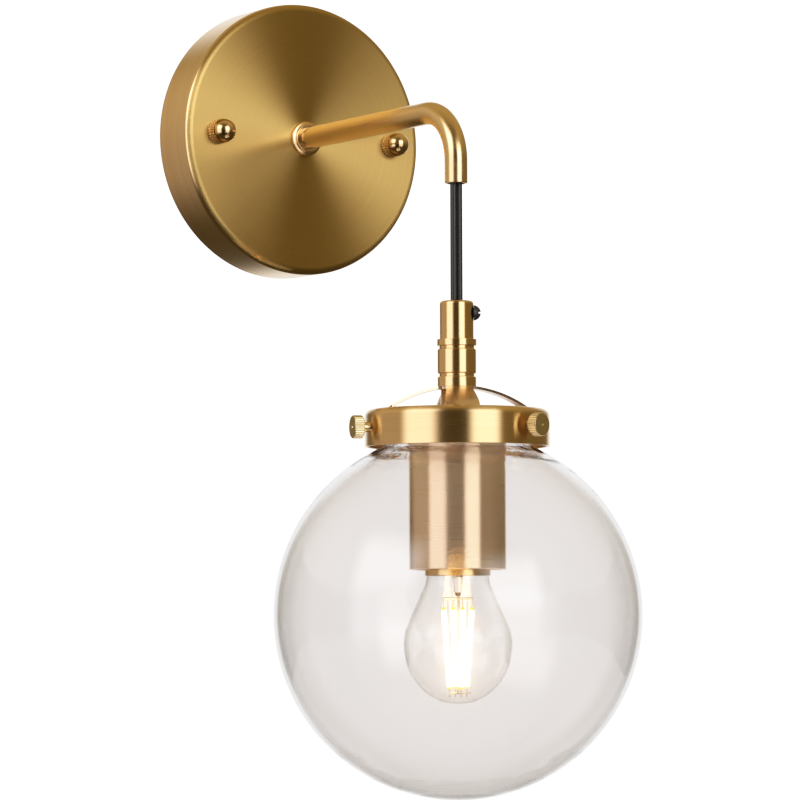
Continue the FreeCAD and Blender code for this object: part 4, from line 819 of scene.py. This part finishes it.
def make_world(studio):
    """A warm dim room with a white wall behind the object, soft boxes in front and on the left with a dark
    gap between them, and a faint one behind on the left. It is what gloss mirrors. What shows through glass,
    what lights dull surfaces and the view itself are white, each in a strength of its own."""
    wall, passed, bounced, viewed = 1.25, 0.62, 1.1, 1.7
    world = bpy.data.worlds.new("studio_room")
    bpy.context.scene.world = world
    world.use_nodes = True
    tree = Tree(world.node_tree)
    for node in list(tree.nodes):
        tree.nodes.remove(node)
    way = tree.add("ShaderNodeTexCoord").outputs["Generated"]
    behind = soft_box(tree, way, 56, 6, 25, 25, 0.13, 0.12)
    height = tree.add("ShaderNodeSeparateXYZ")
    tree.put(height.inputs[0], way)
    level = tree.ramp(height.outputs[2], -0.4, 1.0, studio.fill * 0.4, studio.fill * 3.0)
    between = soft_box(tree, way, 232, 8, 26, 60, 0.2, 0.2)
    gap = tree.math("SUBTRACT", 1.0, tree.math("MULTIPLY", between, 0.7))
    room = tree.mix(tree.math("MULTIPLY", level, gap), (0, 0, 0), (1.0, 0.76, 0.33))
    lit = tree.mix(behind, room, (wall, wall, wall))
    boxes = ((studio.key, (1.0, 1.0, 0.96), (272, 19, 17, 13, 0.10, 0.15)),
             (studio.key * 0.55, (1.0, 1.0, 0.96), (272, -4, 17, 18, 0.10, 0.20)),
             (studio.side, (1.0, 0.96, 0.97), (187, 30, 20, 12, 0.12, 0.17)),
             (studio.side * 0.6, (1.0, 0.96, 0.97), (187, -2, 20, 20, 0.12, 0.20)),
             (studio.fill * 2.0, (1.0, 0.86, 0.74), (136, 8, 28, 30, 0.2, 0.2)))
    for strength, colour, place in boxes:
        box = tree.math("MULTIPLY", soft_box(tree, way, *place), strength)
        lit = tree.vector("ADD", lit, tree.vector("MULTIPLY", colour, grey(tree, box)))
    backing = tree.add("ShaderNodeBackground")
    tree.put(backing.inputs["Color"], lit)
    backing.inputs["Strength"].default_value = 1.0
    seen, path = backing.outputs[0], tree.add("ShaderNodeLightPath").outputs
    through = tree.math("ADD", passed, tree.math("MULTIPLY", behind, wall - passed))
    unmirrored = tree.math("LESS_THAN", path["Glossy Depth"], 0.5)
    refracted = tree.math("MULTIPLY", path["Is Transmission Ray"], unmirrored)
    rays = (refracted, through), (path["Is Diffuse Ray"], bounced), (path["Is Camera Ray"], viewed)
    for ray, light in rays:
        white = tree.add("ShaderNodeBackground")
        white.inputs["Color"].default_value = (1, 1, 1, 1)
        tree.put(white.inputs["Strength"], light)
        choice = tree.add("ShaderNodeMixShader")
        for socket, value in zip(choice.inputs, (ray, seen, white.outputs[0])):
            tree.put(socket, value)
        seen = choice.outputs[0]
    out = tree.add("ShaderNodeOutputWorld")
    tree.put(out.inputs[0], seen)


def make_floor(studio):
    """A flat square grid under the object."""
    level = node_low("glass_globe") - studio.floor_drop
    half = studio.floor_size / 2
    x, y = np.meshgrid(np.linspace(-half, half, 9), np.linspace(-half, half, 9))
    spots = np.column_stack([x.ravel(), y.ravel() - REACH / 2, np.full(x.size, level)])
    row, col = np.meshgrid(np.arange(8), np.arange(8), indexing="ij")
    first = (row * 9 + col).ravel()
    faces = np.column_stack([first, first + 1, first + 10, first + 9])
    mesh = bpy.data.meshes.new("studio_floor")
    mesh.from_pydata(spots.tolist(), [], faces.tolist())
    floor = bpy.data.objects.new("studio_floor", mesh)
    bpy.context.scene.collection.objects.link(floor)
    mesh.materials.append(cast("floor_paper", studio.floor_colour, 0.7, 0.0, 40.0, 0.05 * MM, 0.02))
    floor.visible_glossy = floor.visible_diffuse = False


def make_camera(studio):
    """Camera turned by yaw about the vertical, up by its rise, and rolled, at its place."""
    data = bpy.data.cameras.new("studio_camera")
    data.lens, data.sensor_width = studio.camera_lens, 36
    data.clip_start, data.clip_end = 0.05, 20
    camera = bpy.data.objects.new("studio_camera", data)
    bpy.context.scene.collection.objects.link(camera)
    camera.matrix_world = (Matrix.Translation(Vector(studio.camera_place)) @
                           Matrix.Rotation(studio.camera_yaw, 4, "Z") @
                           Matrix.Rotation(math.pi / 2 + studio.camera_rise, 4, "X") @
                           Matrix.Rotation(studio.camera_roll, 4, "Z"))
    bpy.context.scene.camera = camera


def make_film(scene):
    """Bloom round what is much brighter than white, then a curve with a soft shoulder: nearly straight up to
    0.4, and white at 1.6."""
    scene.use_nodes = True
    tree = Tree(scene.node_tree)
    for node in list(tree.nodes):
        tree.nodes.remove(node)
    layers, out = tree.add("CompositorNodeRLayers"), tree.add("CompositorNodeComposite")
    glare = tree.add("CompositorNodeGlare", glare_type="BLOOM")
    for name, value in (("Threshold", 4.0), ("Strength", 0.5), ("Size", 0.5)):
        if name in glare.inputs:
            glare.inputs[name].default_value = value
    film = tree.add("CompositorNodeCurveRGB")
    white = 1.6
    film.inputs["White Level"].default_value = (white, white, white, 1)
    curve = film.mapping.curves[3]
    for light, tone in ((0.15, 0.15), (0.4, 0.39), (0.7, 0.63), (1.0, 0.82), (1.3, 0.94)):
        curve.points.new(light / white, tone)
    film.mapping.update()
    tree.links.new(layers.outputs["Image"], glare.inputs["Image"])
    tree.links.new(glare.outputs["Image"], film.inputs["Image"])
    tree.links.new(film.outputs["Image"], out.inputs["Image"])


# ---------------- operators and panel

class SconceMaker:
    """What the operators share: each runs one maker with the sizes and the finish."""

    def execute(self, context):
        scene = context.scene
        type(self).maker(scene.sconce_sizes, scene.sconce_finish)
        return {"FINISHED"}


class SCONCE_OT_studio(bpy.types.Operator):
    """Camera, room light, floor and film"""
    bl_idname = "sconce.studio"
    bl_label = "Studio"

    def execute(self, context):
        scene = context.scene
        make_camera(scene.sconce_studio)
        make_world(scene.sconce_studio)
        make_floor(scene.sconce_studio)
        make_film(scene)
        scene.view_settings.view_transform = "Standard"
        scene.view_settings.look = "None"
        scene.cycles.max_bounces = 24
        scene.cycles.transmission_bounces = 24
        return {"FINISHED"}


class SCONCE_OT_cord(SconceMaker, bpy.types.Operator):
    """Flat black cord between the arm and the grip"""
    bl_idname = "sconce.cord"
    bl_label = "Cord"
    maker = staticmethod(make_cord)


class SCONCE_OT_canopy(SconceMaker, bpy.types.Operator):
    """Spun canopy with a rolled edge"""
    bl_idname = "sconce.canopy"
    bl_label = "Canopy"
    maker = staticmethod(make_canopy)


class SCONCE_OT_cap_nuts(SconceMaker, bpy.types.Operator):
    """Two knurled acorn nuts"""
    bl_idname = "sconce.cap_nuts"
    bl_label = "Cap nuts"
    maker = staticmethod(make_cap_nuts)


class SCONCE_OT_arm(SconceMaker, bpy.types.Operator):
    """Bent arm and its stepped collar"""
    bl_idname = "sconce.arm"
    bl_label = "Arm"
    maker = staticmethod(make_arm)


class SCONCE_OT_grip_stack(SconceMaker, bpy.types.Operator):
    """Cord grip, coupling sleeve, clamp ring and neck"""
    bl_idname = "sconce.grip_stack"
    bl_label = "Grip and sleeve"
    maker = staticmethod(make_grip_stack)


class SCONCE_OT_ring(SconceMaker, bpy.types.Operator):
    """Spun gallery ring that holds the globe"""
    bl_idname = "sconce.ring"
    bl_label = "Gallery ring"
    maker = staticmethod(make_ring)


class SCONCE_OT_thumbscrews(SconceMaker, bpy.types.Operator):
    """Three knurled thumbscrews"""
    bl_idname = "sconce.thumbscrews"
    bl_label = "Thumbscrews"
    maker = staticmethod(make_thumbscrews)


class SCONCE_OT_cup(SconceMaker, bpy.types.Operator):
    """Drawn cup round the lamp socket"""
    bl_idname = "sconce.cup"
    bl_label = "Holder cup"
    maker = staticmethod(make_cup)


class SCONCE_OT_globe(SconceMaker, bpy.types.Operator):
    """Blown glass globe"""
    bl_idname = "sconce.globe"
    bl_label = "Globe"
    maker = staticmethod(make_globe)


class SCONCE_OT_bulb(SconceMaker, bpy.types.Operator):
    """Clear bulb and its glass stem"""
    bl_idname = "sconce.bulb"
    bl_label = "Bulb"
    maker = staticmethod(make_bulb)


class SCONCE_OT_filaments(SconceMaker, bpy.types.Operator):
    """Four lit filaments"""
    bl_idname = "sconce.filaments"
    bl_label = "Filaments"
    maker = staticmethod(make_filaments)


class SCONCE_OT_nodes(bpy.types.Operator):
    """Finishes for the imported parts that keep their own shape"""
    bl_idname = "sconce.nodes"
    bl_label = "Inner parts"

    def execute(self, context):
        dress_nodes(context.scene.sconce_finish)
        return {"FINISHED"}


OPERATORS = (SCONCE_OT_studio, SCONCE_OT_cord, SCONCE_OT_canopy, SCONCE_OT_cap_nuts, SCONCE_OT_arm,
             SCONCE_OT_grip_stack, SCONCE_OT_ring, SCONCE_OT_thumbscrews, SCONCE_OT_cup, SCONCE_OT_globe,
             SCONCE_OT_bulb, SCONCE_OT_filaments, SCONCE_OT_nodes)
GROUPS = (("sconce_sizes", SconceSizes), ("sconce_finish", SconceFinish), ("sconce_studio", SconceStudio))


class SCONCE_PT_panel(bpy.types.Panel):
    """Buttons that make the sconce, with its sizes and finishes"""
    bl_idname = "SCONCE_PT_panel"
    bl_label = "Globe wall sconce"
    bl_space_type = "VIEW_3D"
    bl_region_type = "UI"
    bl_category = "Sconce"

    def draw(self, context):
        for operator in OPERATORS:
            self.layout.operator(operator.bl_idname)
        for name, group in GROUPS:
            box = self.layout.box()
            for setting in group.__annotations__:
                box.prop(getattr(context.scene, name), setting)


def register():
    for made in (*(group for _, group in GROUPS), *OPERATORS, SCONCE_PT_panel):
        bpy.utils.register_class(made)
    for name, group in GROUPS:
        setattr(bpy.types.Scene, name, PointerProperty(type=group))


def unregister():
    for name, _ in GROUPS:
        delattr(bpy.types.Scene, name)
    for made in (SCONCE_PT_panel, *reversed(OPERATORS), *(group for _, group in GROUPS)):
        bpy.utils.unregister_class(made)


def main():
    register()
    for operator in OPERATORS:
        area, name = operator.bl_idname.split(".")
        getattr(getattr(bpy.ops, area), name)()


if __name__ == "__main__":
    main()
